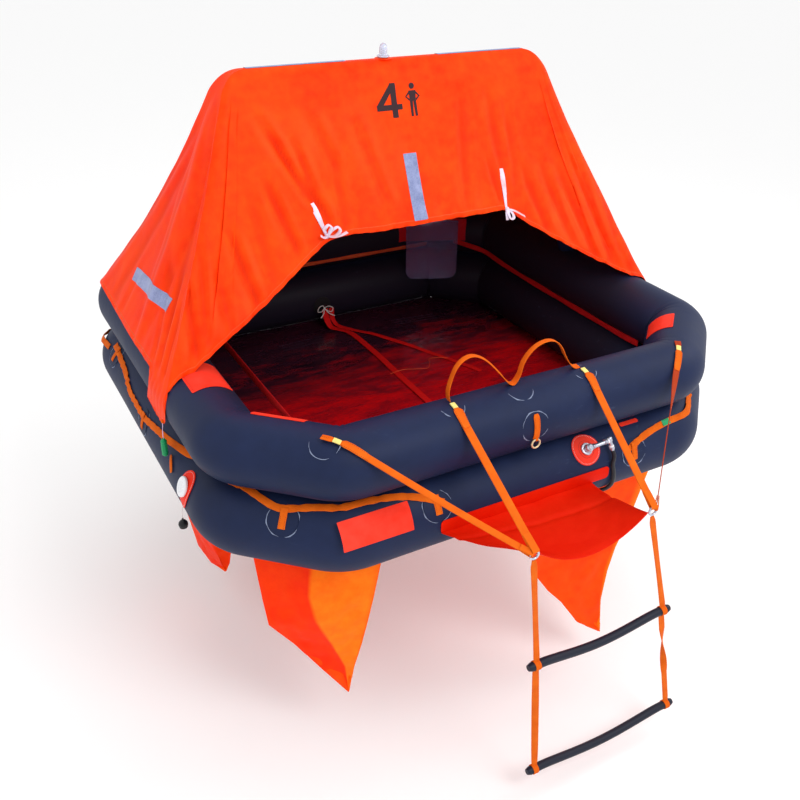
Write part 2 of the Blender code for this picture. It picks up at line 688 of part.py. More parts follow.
def build_tow_point():
    """The tow tab on the front of the upper tube and the ring that swings in it."""
    lift = UPPER_R + GAP + WEB_THICK / 2
    points = []
    facing = []
    for step in range(7):
        angle = math.radians(30 - 42 * step / 6)
        points.append((TOW_X, -HALF_Y - lift * math.cos(angle), UPPER_Z + lift * math.sin(angle)))
        facing.append((0, -math.cos(angle), math.sin(angle)))
    webbing("tow_tab", points, facing, orange_webbing())
    pin = Vector(points[-1]) - Vector((0, 0.002, TOW_WIRE + 2 * GAP))
    ring("tow_ring", pin - Vector((0, 0, TOW_RING_R)), (0, 1, 0), TOW_RING_R, TOW_WIRE,
         finish((0.3, 0.32, 0.36), 0.35))


def build_valves():
    """The inflation valve with its arm and hose, and the relief valve with its cap."""
    front = (0.0, -1.0)
    left = (-1.0, 0.0)
    coral = finish((1.0, 0.08, 0.04), 0.5)
    grey = finish((0.25, 0.27, 0.32), 0.4)
    along = INFLATION_AT[0]
    angle = math.radians(INFLATION_AT[1])
    place_on_tube = (along, angle)
    tube_patch("inflation_valve_plate", front, HALF_Y, LOWER_Z, LOWER_R, place_on_tube, round_outline(0.050),
               0.0015, coral)
    base, out = tube_spot(front, along, angle, LOWER_R, LOWER_Z, HALF_Y, 0.0015 + 2 * GAP + 0.0004)
    profile = [(0.019, 0), (0.019, 0.005), (0.012, 0.008), (0.012, 0.024), (0.007, 0.028), (0, 0.028)]
    lathe("inflation_valve_hub", profile, base, out, grey)
    arm_start = base + out * 0.017 + Vector((0.0125, 0, 0))
    tee = Vector((TEE_X, arm_start.y - 0.004, arm_start.z + 0.006))
    hose = hose_route(tee)
    leg = (hose[0] - tee).normalized()
    bend = [tee - Vector((0.012, 0, 0)), tee + Vector((-0.003, 0, -0.001)), tee + leg * 0.012]
    straight = [arm_start, arm_start + Vector((0.015, 0, 0))]
    pipe("inflation_valve_arm", straight + bend + [hose[0] - leg * 0.0008], 0.0065, grey)
    pipe("inflation_hose", hose, HOSE_R, finish((0.01, 0.01, 0.012), 0.45))
    build_cylinder(hose[-1])
    along = RELIEF_AT[0]
    angle = math.radians(RELIEF_AT[1])
    drop = []
    for i in range(24):
        t = 2 * math.pi * i / 24
        narrowing = 1 - 0.14 * (1 - math.cos(t))
        reach = 0.048 if math.cos(t) > 0 else 0.065
        drop.append((0.036 * math.sin(t) * narrowing, reach * math.cos(t)))
    tube_patch("relief_valve_plate", left, HALF_X, LOWER_Z, LOWER_R, (along, angle), drop, 0.0015, coral)
    base, out = tube_spot(left, along, angle, LOWER_R, LOWER_Z, HALF_X, 0.0015 + 3 * GAP + 0.0001)
    profile = [(0.030, 0), (0.031, 0.003), (0.030, 0.007), (0.018, 0.0085), (0.016, 0.006), (0, 0.006)]
    lathe("relief_valve", profile, base, out, finish((0.85, 0.87, 0.9), 0.35))
    build_relief_cap(along)


def hose_route(tee):
    """The hose from the valve's tee, down round the lower tube and along under it to the gas cylinder."""
    leg = Vector((0.004, -0.014, -0.030))
    route = [tee + leg, tee + leg * 1.6]
    clear = LOWER_R + HOSE_R + 0.0012
    for x, degrees in ((0.277, 14), (0.283, 0), (0.290, -14), (0.294, -28), (0.292, -42), (0.280, -54),
                       (0.258, -64),
                       (0.228, -72), (0.195, -79), (0.160, -85)):
        angle = math.radians(degrees)
        route.append(Vector((x, -HALF_Y - clear * math.cos(angle), LOWER_Z + clear * math.sin(angle))))
    height = HULL_BOTTOM - CYLINDER_R - 2 * GAP
    for x, y, above in ((0.125, -0.775, 0.0371), (0.090, -0.755, 0.0276), (0.060, -0.733, 0.0166),
                        (0.038, -0.713, 0.0072), (0.016, -0.7005, 0.0002), (0, CYLINDER_Y, 0)):
        route.append(Vector((x, y, height + above)))
    return smooth_route(route, 3)


def smooth_route(points, steps):
    """Points of a smooth curve through a route."""
    smooth = []
    for i in range(len(points) - 1):
        a = points[max(i - 1, 0)]
        b = points[i]
        c = points[i + 1]
        d = points[min(i + 2, len(points) - 1)]
        for k in range(steps):
            t = k / steps
            smooth.append(0.5 * (2 * b + (c - a) * t + (2 * a - 5 * b + 4 * c - d) * t ** 2
                                 + (3 * b - a - 3 * c + d) * t ** 3))
    return smooth + [points[-1]]


def build_cylinder(middle):
    """The gas cylinder slung under the floor by two straps."""
    grey = finish((0.35, 0.37, 0.4), 0.4, 0.3)
    profile = [(0, 0), (0.030, 0.002), (0.044, 0.012), (CYLINDER_R, 0.032), (CYLINDER_R, 0.30), (0.040, 0.325),
               (0.020, 0.340), (0.016, 0.350), (0.019, 0.352), (0.019, 0.382), (0.015, 0.386), (0, 0.386)]
    start = middle - Vector((0.386 + 2 * GAP, 0, 0))
    lathe("gas_cylinder", profile, start, (1, 0, 0), grey)
    for name, x in (("gas_cylinder_strap_left", start.x + 0.075),
                    ("gas_cylinder_strap_right", start.x + 0.265)):
        lift = CYLINDER_R + 0.0006 + WEB_THICK / 2
        points = [(x, middle.y - lift - 0.0295, HULL_BOTTOM - GAP - WEB_THICK / 2),
                  (x, middle.y - lift - 0.004, HULL_BOTTOM - GAP - WEB_THICK / 2)]
        facing = [(0, 0, -1), (0, -0.7, -0.7)]
        for degrees in range(185, 356, 10):
            angle = math.radians(degrees)
            points.append((x, middle.y + lift * math.cos(angle), middle.z + lift * math.sin(angle)))
            facing.append((0, math.cos(angle), math.sin(angle)))
        points += [(x, middle.y + lift + 0.004, HULL_BOTTOM - GAP - WEB_THICK / 2),
                   (x, middle.y + lift + 0.0295, HULL_BOTTOM - GAP - WEB_THICK / 2)]
        facing += [(0, 0.7, -0.7), (0, 0, -1)]
        webbing(name, points, facing, orange_webbing())


def build_relief_cap(along):
    """The relief valve's rubber cap, hung on its cord from the foot of the plate."""
    top = Vector((-HALF_X - LOWER_R + 0.0005, -along + 0.002, LOWER_Z - 0.0185))
    route = [top, top + Vector((-0.0022, 0.002, -0.010)), top + Vector((-0.0036, 0.004, -0.024)),
             top + Vector((-0.0042, 0.005, -0.046))]
    pipe("relief_valve_cord", smooth_route(route, 4), CORD_R, finish((0.7, 0.7, 0.7), 0.7), sides=8)
    profile = [(0, 0), (0.003, -0.001), (0.004, -0.007), (0.0105, -0.012), (0.0145, -0.022),
               (0.0125, -0.032),
               (0, -0.037)]
    lathe("relief_valve_cap", [(r, h - GAP) for r, h in profile], route[-1], (0, 0, 1),
          finish((0.01, 0.01, 0.01), 0.5))


def build_light_cell():
    """The water-activated cell of the canopy light, hung on its cord from the left tail."""
    top = Vector((-TAIL_X - TAIL_THICK - GAP - CORD_R, -0.278, 0.268))
    route = [top, top + Vector((-0.003, -0.008, -0.010)), top + Vector((-0.007, -0.016, -0.024)),
             top + Vector((-0.0085, -0.020, -0.046))]
    pipe("light_cell_cord", smooth_route(route, 4), CORD_R, finish((0.85, 0.7, 0.75), 0.7), sides=8)
    profile = [(0, 0), (0.005, 0), (0.006, -0.004), (0.0095, -0.007), (0.0095, -0.056), (0.006, -0.060),
               (0, -0.060)]
    green = finish((0.0, 0.35, 0.12), 0.4)
    lathe("light_cell", [(r, h - GAP) for r, h in profile], route[-1], (0, 0, 1), green)


def inner_spot(bearing, angle):
    """A point just off the inner face of the upper tube, and the way that face looks."""
    lift = UPPER_R + 2 * GAP + WEB_THICK / 2
    spot, normal = plan_point(bearing, -lift * math.cos(angle))
    facing = Vector((-normal.x * math.cos(angle), -normal.y * math.cos(angle), math.sin(angle)))
    return Vector((spot.x, spot.y, UPPER_Z + lift * math.sin(angle))), facing


def inner_line(name, anchors):
    """A webbing line along the inner face of the upper tube through (bearing, rise) anchors."""
    points = []
    facing = []
    for (start, rise0), (end, rise1) in zip(anchors, anchors[1:]):
        steps = max(2, round((end - start) / 4))
        for i in range(steps + (end == anchors[-1][0])):
            t = i / steps
            spot, way = inner_spot(start + (end - start) * t, math.radians(rise0 + (rise1 - rise0) * t))
            points.append(spot)
            facing.append(way)
    webbing(name, points, facing, finish((0.5, 0.03, 0.01), 0.7), width=0.022)


def taut_inner_line():
    """The left inner line: drawn straight between its two patches on the left corners."""
    points = []
    facing = []
    for bearing in (230.8, 229, 227.2):
        spot, way = inner_spot(bearing, math.radians(-24))
        points.append(spot)
        facing.append(way)
    corner = points[-1]
    for step in range(1, 8):
        points.append(Vector((corner.x, corner.y * (1 - step / 4), corner.z)))
        facing.append(Vector((1, 0, -0.4)))
    for bearing in (132.8, 131, 129.2):
        spot, way = inner_spot(bearing, math.radians(-24))
        points.append(spot)
        facing.append(way)
    webbing("inner_grab_line_left", points, facing, finish((0.5, 0.03, 0.01), 0.7), width=0.022)


def build_inside():
    """The inner grab lines and the two floor straps."""
    inner_line("inner_grab_line_back", ((52, -30), (125, -30)))
    inner_line("inner_grab_line_right", ((-32, -50), (-26, -60), (-5, -62), (20, -58), (30, -45), (38, -30),
                                         (44, -16)))
    taut_inner_line()
    red = finish((0.35, 0.01, 0.01), 0.6)
    floor_top = HULL_BOTTOM + FLOOR_THICK + GAP + 0.001
    anchor_y = HALF_Y - LOWER_R - 0.006
    straps = (("floor_strap_long", ((0.018, 0), (0.09, 0.16), (0.088, 0.68), (0.086, 1.1)), 0.028),
              ("floor_strap_short", ((0.050, 0), (0.184, 0.20), (0.33, 0.50), (0.40, 0.66)), 0.022))
    for name, spots, width in straps:
        top = Vector((spots[0][0], anchor_y - 0.003, 0.060))
        points = [top, Vector((spots[0][0] + 0.01, anchor_y - 0.045, floor_top + 0.010))]
        for x, back in spots[1:]:
            points.append(Vector((x, anchor_y - back, floor_top)))
        facing = [Vector((0, -1, 0.35)), Vector((0, -0.7, 0.7))] + [Vector((0, 0, 1))] * (len(points) - 2)
        webbing(name, points, facing, red, width=width, thick=0.002)


def build_pouch():
    """The clear pouch that hangs across the back right corner, its sides against the upper tube."""
    turn = math.atan2(CUT_Y, CUT_X) / 2
    lean = math.asin((LOWER_R - UPPER_R) / (UPPER_Z - LOWER_Z))
    along = Vector((math.cos(turn), -math.sin(turn), 0))
    inward = Vector((-math.sin(turn), -math.cos(turn), 0))
    up = Vector((0, 0, math.cos(lean))) - inward * math.sin(lean)
    clear = LOWER_R - 0.0008
    crease = Vector((HALF_X - CUT_X - clear * math.tan(turn), HALF_Y - clear, LOWER_Z))
    middle = crease + inward * POUCH_HALF * math.tan(turn)
    low, high = POUCH_RANGE
    outline = [(-POUCH_HALF, high), (POUCH_HALF, high)]
    for step in range(5):
        angle = math.radians(90 * step / 4)
        side = POUCH_HALF - POUCH_CORNER + POUCH_CORNER * math.cos(angle)
        outline.append((side, low + POUCH_CORNER - POUCH_CORNER * math.sin(angle)))
    for step in range(5):
        angle = math.radians(90 * step / 4)
        side = POUCH_HALF - POUCH_CORNER + POUCH_CORNER * math.sin(angle)
        outline.append((-side, low + POUCH_CORNER - POUCH_CORNER * math.cos(angle)))
    shape = bmesh.new()
    face = shape.faces.new([shape.verts.new(middle + along * a + up * b) for a, b in outline])
    for item in bmesh.ops.extrude_face_region(shape, geom=[face])["geom"]:
        if isinstance(item, bmesh.types.BMVert):
            item.co += inward * 0.004
    from_bmesh("clear_pouch", shape, finish((0.8, 0.75, 0.85), 0.1))


def build_sign_and_underside():
    """The blank boarding sign on the lower tube and the righting strap under the floor."""
    tube_patch("boarding_sign", (0.0, -1.0), HALF_Y, LOWER_Z, LOWER_R, (-0.537, math.radians(33.0)),
               box_outline(0.108, 0.042), 0.0012, finish((1.0, 0.08, 0.03), 0.5))
    points = [(RIGHTING_X, y, HULL_BOTTOM - GAP - WEB_THICK / 2 - sag)
              for y, sag in ((-0.45, 0), (-0.40, 0), (-0.1, 0.0), (0.3, 0.0), (0.60, 0), (0.66, 0))]
    webbing("righting_strap", points, [(0, 0, -1)] * len(points), orange_webbing(), width=0.04)


def clear_scene():
    for piece in list(bpy.data.objects):
        bpy.data.objects.remove(piece)


def main():
    clear_scene()
    build_tubes()
    build_floor()
    build_arch()
    build_canopy()
    build_tails()
    build_light()
    build_pockets()
    build_boarding_gear()
    build_ladder()
    build_grab_lines()
    build_tow_point()
    build_valves()
    build_light_cell()
    build_inside()
    build_pouch()
    build_sign_and_underside()


main()
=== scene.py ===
"""Dresses a four-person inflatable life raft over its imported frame: cloth, webbing, rubber, fittings and a
plain pale studio. Every piece is in metres, in the frame's own place.
"""
import sys

import json
import math

import bmesh
import bpy
from bpy.props import FloatProperty, FloatVectorProperty, PointerProperty
from mathutils import Matrix, Vector, noise
from mathutils.bvhtree import BVHTree
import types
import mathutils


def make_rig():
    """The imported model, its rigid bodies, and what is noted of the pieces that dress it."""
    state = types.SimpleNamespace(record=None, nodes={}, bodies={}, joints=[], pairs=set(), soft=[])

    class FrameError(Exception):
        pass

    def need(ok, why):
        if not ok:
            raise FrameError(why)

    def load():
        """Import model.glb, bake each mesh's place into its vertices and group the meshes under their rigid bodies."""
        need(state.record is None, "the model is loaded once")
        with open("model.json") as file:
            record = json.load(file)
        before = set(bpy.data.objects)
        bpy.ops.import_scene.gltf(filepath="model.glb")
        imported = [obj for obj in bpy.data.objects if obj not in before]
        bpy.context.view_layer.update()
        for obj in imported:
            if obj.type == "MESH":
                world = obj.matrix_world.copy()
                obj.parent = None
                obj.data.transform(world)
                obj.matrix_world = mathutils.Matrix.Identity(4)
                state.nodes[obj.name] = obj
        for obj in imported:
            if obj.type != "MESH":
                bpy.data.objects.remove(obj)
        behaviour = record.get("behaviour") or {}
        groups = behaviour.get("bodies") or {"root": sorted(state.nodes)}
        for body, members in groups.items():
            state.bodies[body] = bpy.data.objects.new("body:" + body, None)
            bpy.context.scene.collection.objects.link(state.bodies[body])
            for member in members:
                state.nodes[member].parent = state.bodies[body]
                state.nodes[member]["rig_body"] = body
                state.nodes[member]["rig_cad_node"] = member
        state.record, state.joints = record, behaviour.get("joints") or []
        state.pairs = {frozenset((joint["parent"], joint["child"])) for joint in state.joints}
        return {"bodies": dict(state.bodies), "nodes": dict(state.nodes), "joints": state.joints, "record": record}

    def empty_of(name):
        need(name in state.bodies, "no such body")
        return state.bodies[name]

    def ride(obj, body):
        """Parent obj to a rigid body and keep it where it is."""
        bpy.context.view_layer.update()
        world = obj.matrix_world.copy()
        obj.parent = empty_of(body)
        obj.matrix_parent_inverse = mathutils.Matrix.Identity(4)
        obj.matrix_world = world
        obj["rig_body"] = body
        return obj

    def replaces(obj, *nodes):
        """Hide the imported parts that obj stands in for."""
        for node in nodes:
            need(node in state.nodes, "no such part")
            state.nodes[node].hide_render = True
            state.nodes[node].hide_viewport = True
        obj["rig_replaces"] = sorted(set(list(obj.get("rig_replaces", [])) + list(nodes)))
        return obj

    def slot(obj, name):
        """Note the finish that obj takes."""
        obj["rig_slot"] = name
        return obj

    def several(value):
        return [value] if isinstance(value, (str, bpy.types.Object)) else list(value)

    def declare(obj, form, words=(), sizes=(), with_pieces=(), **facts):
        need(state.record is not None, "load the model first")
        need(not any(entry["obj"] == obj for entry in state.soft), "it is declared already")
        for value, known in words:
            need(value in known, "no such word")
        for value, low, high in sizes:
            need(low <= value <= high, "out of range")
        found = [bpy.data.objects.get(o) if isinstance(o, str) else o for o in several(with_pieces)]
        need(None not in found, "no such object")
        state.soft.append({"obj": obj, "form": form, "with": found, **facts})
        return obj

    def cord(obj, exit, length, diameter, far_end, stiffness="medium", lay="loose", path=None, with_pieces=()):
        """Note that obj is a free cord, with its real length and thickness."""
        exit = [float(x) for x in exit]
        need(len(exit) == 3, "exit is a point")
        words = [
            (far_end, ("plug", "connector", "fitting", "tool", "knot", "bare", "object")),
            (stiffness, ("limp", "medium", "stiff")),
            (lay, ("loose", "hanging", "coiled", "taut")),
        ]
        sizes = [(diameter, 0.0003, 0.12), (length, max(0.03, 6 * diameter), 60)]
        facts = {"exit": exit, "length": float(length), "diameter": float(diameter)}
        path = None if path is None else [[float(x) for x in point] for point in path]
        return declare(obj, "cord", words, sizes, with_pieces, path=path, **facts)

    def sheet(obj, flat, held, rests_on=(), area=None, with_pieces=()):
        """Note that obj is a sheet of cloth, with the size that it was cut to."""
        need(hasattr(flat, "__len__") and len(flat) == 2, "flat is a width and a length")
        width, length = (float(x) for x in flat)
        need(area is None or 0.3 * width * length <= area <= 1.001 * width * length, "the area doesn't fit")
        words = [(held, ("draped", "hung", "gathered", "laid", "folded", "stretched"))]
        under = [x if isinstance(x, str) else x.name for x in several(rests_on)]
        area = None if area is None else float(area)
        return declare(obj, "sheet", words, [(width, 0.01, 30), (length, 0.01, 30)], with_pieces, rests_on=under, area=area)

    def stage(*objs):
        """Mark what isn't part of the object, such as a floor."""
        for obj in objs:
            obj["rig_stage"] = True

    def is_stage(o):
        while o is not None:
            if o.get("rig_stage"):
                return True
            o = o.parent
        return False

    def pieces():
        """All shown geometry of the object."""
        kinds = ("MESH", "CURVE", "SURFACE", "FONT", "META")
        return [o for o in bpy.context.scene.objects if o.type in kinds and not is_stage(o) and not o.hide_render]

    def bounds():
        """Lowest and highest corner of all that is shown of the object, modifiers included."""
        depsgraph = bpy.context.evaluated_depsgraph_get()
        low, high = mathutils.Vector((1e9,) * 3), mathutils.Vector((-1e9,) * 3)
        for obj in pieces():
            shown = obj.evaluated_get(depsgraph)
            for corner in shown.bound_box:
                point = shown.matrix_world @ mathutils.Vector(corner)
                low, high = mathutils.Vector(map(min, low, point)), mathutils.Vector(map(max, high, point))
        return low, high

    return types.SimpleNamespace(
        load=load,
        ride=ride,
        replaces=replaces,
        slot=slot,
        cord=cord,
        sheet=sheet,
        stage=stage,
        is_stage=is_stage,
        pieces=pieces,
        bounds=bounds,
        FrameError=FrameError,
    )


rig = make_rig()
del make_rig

bl_info = {
    "name": "Inflatable Life Raft",
    "version": (1, 0, 0),
    "blender": (4, 5, 0),
    "location": "3D View > Sidebar > Life Raft",
    "description": "Builds the cloth, webbing, rubber and fittings of a four-person life raft",
    "category": "Object",
}

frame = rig.load()
CAD_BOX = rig.bounds()

# Clearance that touching pieces keep
GAP = 0.0003

# Buoyancy tubes, as the frame's solids have them
HALF_X = 0.829
HALF_Y = 0.787
CUT_X = 0.235
CUT_Y = 0.222
BEND = 0.05
LOWER_R = 0.120
UPPER_R = 0.1035
LOWER_Z = 0.090
UPPER_Z = LOWER_Z + LOWER_R + UPPER_R + GAP
HULL_BOTTOM = LOWER_Z - LOWER_R
FLOOR_TOP = HULL_BOTTOM + 0.010
TUBES = {"lower": (LOWER_R, LOWER_Z), "upper": (UPPER_R, UPPER_Z)}

# Canopy
ARCH_Y = 0.060
ARCH_R = 0.040
RIDGE_HALF = 0.560
RIDGE_Z = 1.176
RIDGE_WIDTH = 0.060
CROWN_Z = 1.1835
CROWN_HALF = 0.010
CLOTH = 0.004
TIE_X = 0.330
TIE_Y = -0.167
TIE_Z = 0.707
FOOT_Y = -0.330
FOOT_OUTER_Y = -0.300
HEM_ANGLE = math.radians(33)
CORNER_HEM_ANGLE = math.radians(41)
BACK_HEM_ANGLE = math.radians(48)
HEM_BACK_Y = 0.606
REAR_HEM_STEP = 0.042
TAIL_X = HALF_X + UPPER_R + 0.0022
TAIL_FRONT = ((0.3618, -0.300), (0.3138, -0.312), (0.285, -0.304), (0.262, -0.284), (0.249, -0.262))
TAIL_BACK = ((0.3618, -0.142), (0.3138, -0.134), (0.285, -0.116), (0.262, -0.106), (0.249, -0.170))

# Boarding gear
WEB_WIDTH = 0.025
WEB_THICK = 0.003
LINE_WEB = {"width": 0.022, "thick": 0.0026}
BOARD_X = -0.025
STRAP_SPREAD = 0.230
RING_SPREAD = 0.205
RING_Y = -1.187
RING_Z = 0.160
RING_R = 0.013
RING_WIRE = 0.0035
RUNG_R = 0.0135
RUNG_SAG = 0.022
UPPER_RUNG = (-0.189, 0.325, -0.270)
LOWER_RUNG = (-0.140, 0.445, -0.752)
PIN_PLAY = 0.0008
HANDHOLD_RISE = 0.132
HANDHOLD_ROUTE = (
    (-0.255, 0), (-0.261, 0.03), (-0.256, 0.066), (-0.244, 0.104), (-0.222, 0.127), (-0.193, 0.132),
    (-0.160, 0.117), (-0.132, 0.094), (-0.107, 0.068), (-0.080, 0.038), (-0.056, 0.010), (-0.036, 0),
    (-0.020, 0.024), (-0.012, 0.064), (0.006, 0.095), (0.033, 0.115), (0.067, 0.121), (0.098, 0.110),
    (0.122, 0.085), (0.140, 0.056), (0.164, 0.022), (0.186, 0.002), (0.204, 0),
)

# Fittings
TOW_X = -0.022
INFLATION_AT = (0.195, math.radians(46))
RELIEF_AT = (0.448, math.radians(24))
TEE_X = 0.272
HOSE_R = 0.0065
CYLINDER_R = 0.050
CYLINDER_Y = -0.700
RIGHTING_X = -0.20
CORD_R = 0.0011
LINE_SAG = 12
POUCH_HALF = 0.115
POUCH_RANGE = (0.030, 0.300)
POUCH_CORNER = 0.040
# The two thin cords: where each starts, then how far its points lie from there
CAP_CORD = ((-HALF_X - LOWER_R + 0.0005, -RELIEF_AT[0] + 0.002, LOWER_Z - 0.0185),
            (-0.0022, 0.002, -0.010), (-0.0036, 0.004, -0.024), (-0.0042, 0.005, -0.046))
CELL_CORD = ((-HALF_X - UPPER_R - 0.0016 - 0.003 - GAP - CORD_R, -0.278, 0.268),
             (-0.003, -0.008, -0.010), (-0.007, -0.016, -0.024), (-0.0085, -0.020, -0.046))

# Height of the studio's floor
FLOOR_LEVEL = -0.860

# The record's slot that each finish is taken from, where it has another name
SLOTS = {
    "disc": "tube", "inner_webbing": "dark_webbing", "back_webbing": "dark_webbing",
    "floor_webbing": "dark_webbing", "worn_webbing": "webbing", "seam": "floor", "coral": "patch",
    "tape": "canopy", "print": "canopy", "ribbon": "white", "film": "pouch", "backing": "patch",
    "steel": "grey", "gold": "grey", "cell": "green", "cap": "black", "tag": "white", "thread": "white",
    "chalk": "white", "dark_thread": "patch",
}


class RaftSizes(bpy.types.PropertyGroup):
    """Sizes of the cloth and trim that a user may change."""

    canopy_sag: FloatProperty(name="Canopy sag", description="How far the canopy's sides hang inwards",
                              default=0.030, min=0.0, max=0.04, unit="LENGTH")
    fold_depth: FloatProperty(name="Fold depth", description="Depth of the canopy's main folds",
                              default=0.0125, min=0.0, max=0.02, unit="LENGTH")
    pocket_bulge: FloatProperty(name="Pocket bulge", description="How far a ballast pocket's sides hang out",
                                default=0.012, min=0.0, max=0.02, unit="LENGTH")
    tape_width: FloatProperty(name="Tape width", description="Width of the reflective tapes",
                              default=0.050, min=0.02, max=0.06, unit="LENGTH")
    stitch: FloatProperty(name="Stitch length", description="Length of one stitch of the seams",
                          default=0.0042, min=0.002, max=0.008, unit="LENGTH")


class RaftColours(bpy.types.PropertyGroup):
    """Main colours of the raft."""

    rubber: FloatVectorProperty(name="Tubes", description="Coated fabric of the buoyancy tubes",
                                default=(0.0085, 0.0155, 0.051), subtype="COLOR", min=0.0, max=1.0)
    canopy: FloatVectorProperty(name="Canopy", description="Coated cloth of the canopy",
                                default=(0.98, 0.046, 0.0025), subtype="COLOR", min=0.0, max=1.0)
    webbing: FloatVectorProperty(name="Webbing", description="Straps, lines and loops",
                                 default=(0.74, 0.125, 0.004), subtype="COLOR", min=0.0, max=1.0)
    ramp: FloatVectorProperty(name="Ramp", description="Cloth of the boarding ramp",
                              default=(0.72, 0.013, 0.001), subtype="COLOR", min=0.0, max=1.0)
    pocket: FloatVectorProperty(name="Pockets", description="Cloth of the ballast pockets",
                                default=(0.95, 0.030, 0.001), subtype="COLOR", min=0.0, max=1.0)
    coral: FloatVectorProperty(name="Patches", description="Coral patches and the boarding plate",
                               default=(0.92, 0.050, 0.022), subtype="COLOR", min=0.0, max=1.0)
    floor: FloatVectorProperty(name="Floor", description="Coated sheet of the raft's floor",
                               default=(0.34, 0.002, 0.004), subtype="COLOR", min=0.0, max=1.0)


def sizes():
    return bpy.context.scene.raft_sizes


def colours():
    return bpy.context.scene.raft_colours


def node(tree, kind, inputs=(), **settings):
    """Add a shader node; an input is either a value or another node's output."""
    made = tree.nodes.new(kind)
    for key, value in settings.items():
        setattr(made, key, value)
    for key, value in dict(inputs).items():
        if isinstance(value, bpy.types.NodeSocket):
            tree.links.new(value, made.inputs[key])
        else:
            made.inputs[key].default_value = value
    return made


def maths(tree, operation, *values):
    """A Math node's output."""
    return node(tree, "ShaderNodeMath", dict(enumerate(values)), operation=operation).outputs[0]


def product(tree, *values):
    return maths(tree, "MULTIPLY", *values)


def texture(tree, place, scale, detail=2.0, roughness=0.5):
    """A noise texture's outputs: its value and its colour."""
    return node(tree, "ShaderNodeTexNoise", {"Vector": place, "Scale": scale, "Detail": detail,
                                             "Roughness": roughness}).outputs


def remap(tree, value, low, high, first=0.0, last=1.0):
    """Carry the span from low to high over to the span from first to last."""
    return node(tree, "ShaderNodeMapRange", {0: value, 1: low, 2: high, 3: first, 4: last}).outputs[0]


def painted(tree, name):
    """The value that the mesh holds in one of its layers."""
    return node(tree, "ShaderNodeAttribute", attribute_name=name).outputs["Fac"]


def clamped(tree, value):
    return node(tree, "ShaderNodeClamp", {0: value}).outputs[0]


def group(name, inputs, outputs):
    """Start a shader node group: inputs as (name, kind, default), outputs as (name, kind)."""
    tree = bpy.data.node_groups.new(name, "ShaderNodeTree")
    for label, kind, default in inputs:
        socket = tree.interface.new_socket(label, in_out="INPUT", socket_type="NodeSocket" + kind)
        if default is not None:
            socket.default_value = default
    for label, kind in outputs:
        tree.interface.new_socket(label, in_out="OUTPUT", socket_type="NodeSocket" + kind)
    return tree, tree.nodes.new("NodeGroupInput").outputs, tree.nodes.new("NodeGroupOutput").inputs


def weave_group():
    """A plain weave of round threads."""
    tree, given, result = group("Weave", (("Vector", "Vector", None), ("Threads", "Float", 700.0)),
                                (("Height", "Float"), ("Shade", "Float")))
    scaled = node(tree, "ShaderNodeVectorMath", {0: given["Vector"], "Scale": given["Threads"]},
                  operation="SCALE").outputs[0]
    parts = node(tree, "ShaderNodeSeparateXYZ", {0: scaled}).outputs
    warp = maths(tree, "SINE", product(tree, parts[0], math.pi))
    weft = maths(tree, "SINE", product(tree, parts[1], math.pi))
    height = product(tree, warp, weft)
    tree.links.new(height, result["Height"])
    slub = texture(tree, scaled, 0.11, 3.0)[0]
    tree.links.new(maths(tree, "MULTIPLY_ADD", height, 0.08, slub), result["Shade"])
    return tree


def mottle_group():
    """Slow and fine variation of tone."""
    tree, given, result = group("Mottle", (("Vector", "Vector", None), ("Scale", "Float", 6.0),
                                           ("Contrast", "Float", 1.0)), (("Fac", "Float"),))
    slow = texture(tree, given["Vector"], given["Scale"], 4.0, 0.55)[0]
    fine = texture(tree, given["Vector"], product(tree, given["Scale"], 9.0), 3.0)[0]
    both = maths(tree, "MULTIPLY_ADD", fine, 0.35, product(tree, slow, 0.65))
    spread = maths(tree, "MULTIPLY_ADD", maths(tree, "SUBTRACT", both, 0.5), given["Contrast"], 0.5)
    tree.links.new(clamped(tree, spread), result["Fac"])
    return tree


def scuff_group():
    """Pale rubbed streaks and specks."""
    tree, given, result = group("Scuffs", (("Vector", "Vector", None), ("Scale", "Float", 14.0),
                                           ("Amount", "Float", 0.5)), (("Mask", "Float"),))
    bent = texture(tree, given["Vector"], 5.0)[1]
    stretched = node(tree, "ShaderNodeMapping", {"Vector": given["Vector"], "Scale": (1.0, 1.0, 3.5)})
    moved = node(tree, "ShaderNodeMix", {0: 0.12, 4: stretched.outputs[0], 5: bent}, data_type="VECTOR")
    streaks = texture(tree, moved.outputs[1], given["Scale"], 6.0, 0.7)[0]
    places = texture(tree, given["Vector"], 3.1)[0]
    sharp = maths(tree, "SMOOTH_MIN", product(tree, maths(tree, "SUBTRACT", streaks, 0.60), 7.0), 1.0, 0.2)
    picked = product(tree, maths(tree, "SUBTRACT", places, 0.50), 6.0)
    mask = product(tree, clamped(tree, sharp), clamped(tree, picked))
    tree.links.new(product(tree, mask, given["Amount"]), result["Mask"])
    return tree


def webbing_group():
    """Woven strap: lengthwise ribs crossed by a twill."""
    tree, given, result = group("Webbing", (("Vector", "Vector", None), ("Ribs", "Float", 520.0)),
                                (("Height", "Float"), ("Shade", "Float")))
    parts = node(tree, "ShaderNodeSeparateXYZ", {0: given["Vector"]}).outputs
    ribs = maths(tree, "SINE", product(tree, parts[1], product(tree, given["Ribs"], 6.283)))
    slant = maths(tree, "ADD", product(tree, parts[0], 2600.0), product(tree, ribs, 1.1))
    twill = maths(tree, "SINE", slant)
    height = maths(tree, "MULTIPLY_ADD", twill, 0.35, product(tree, ribs, 0.65))
    tree.links.new(height, result["Height"])
    dirt = texture(tree, given["Vector"], 26.0, 5.0)[0]
    tree.links.new(maths(tree, "MULTIPLY_ADD", height, 0.16, dirt), result["Shade"])
    return tree


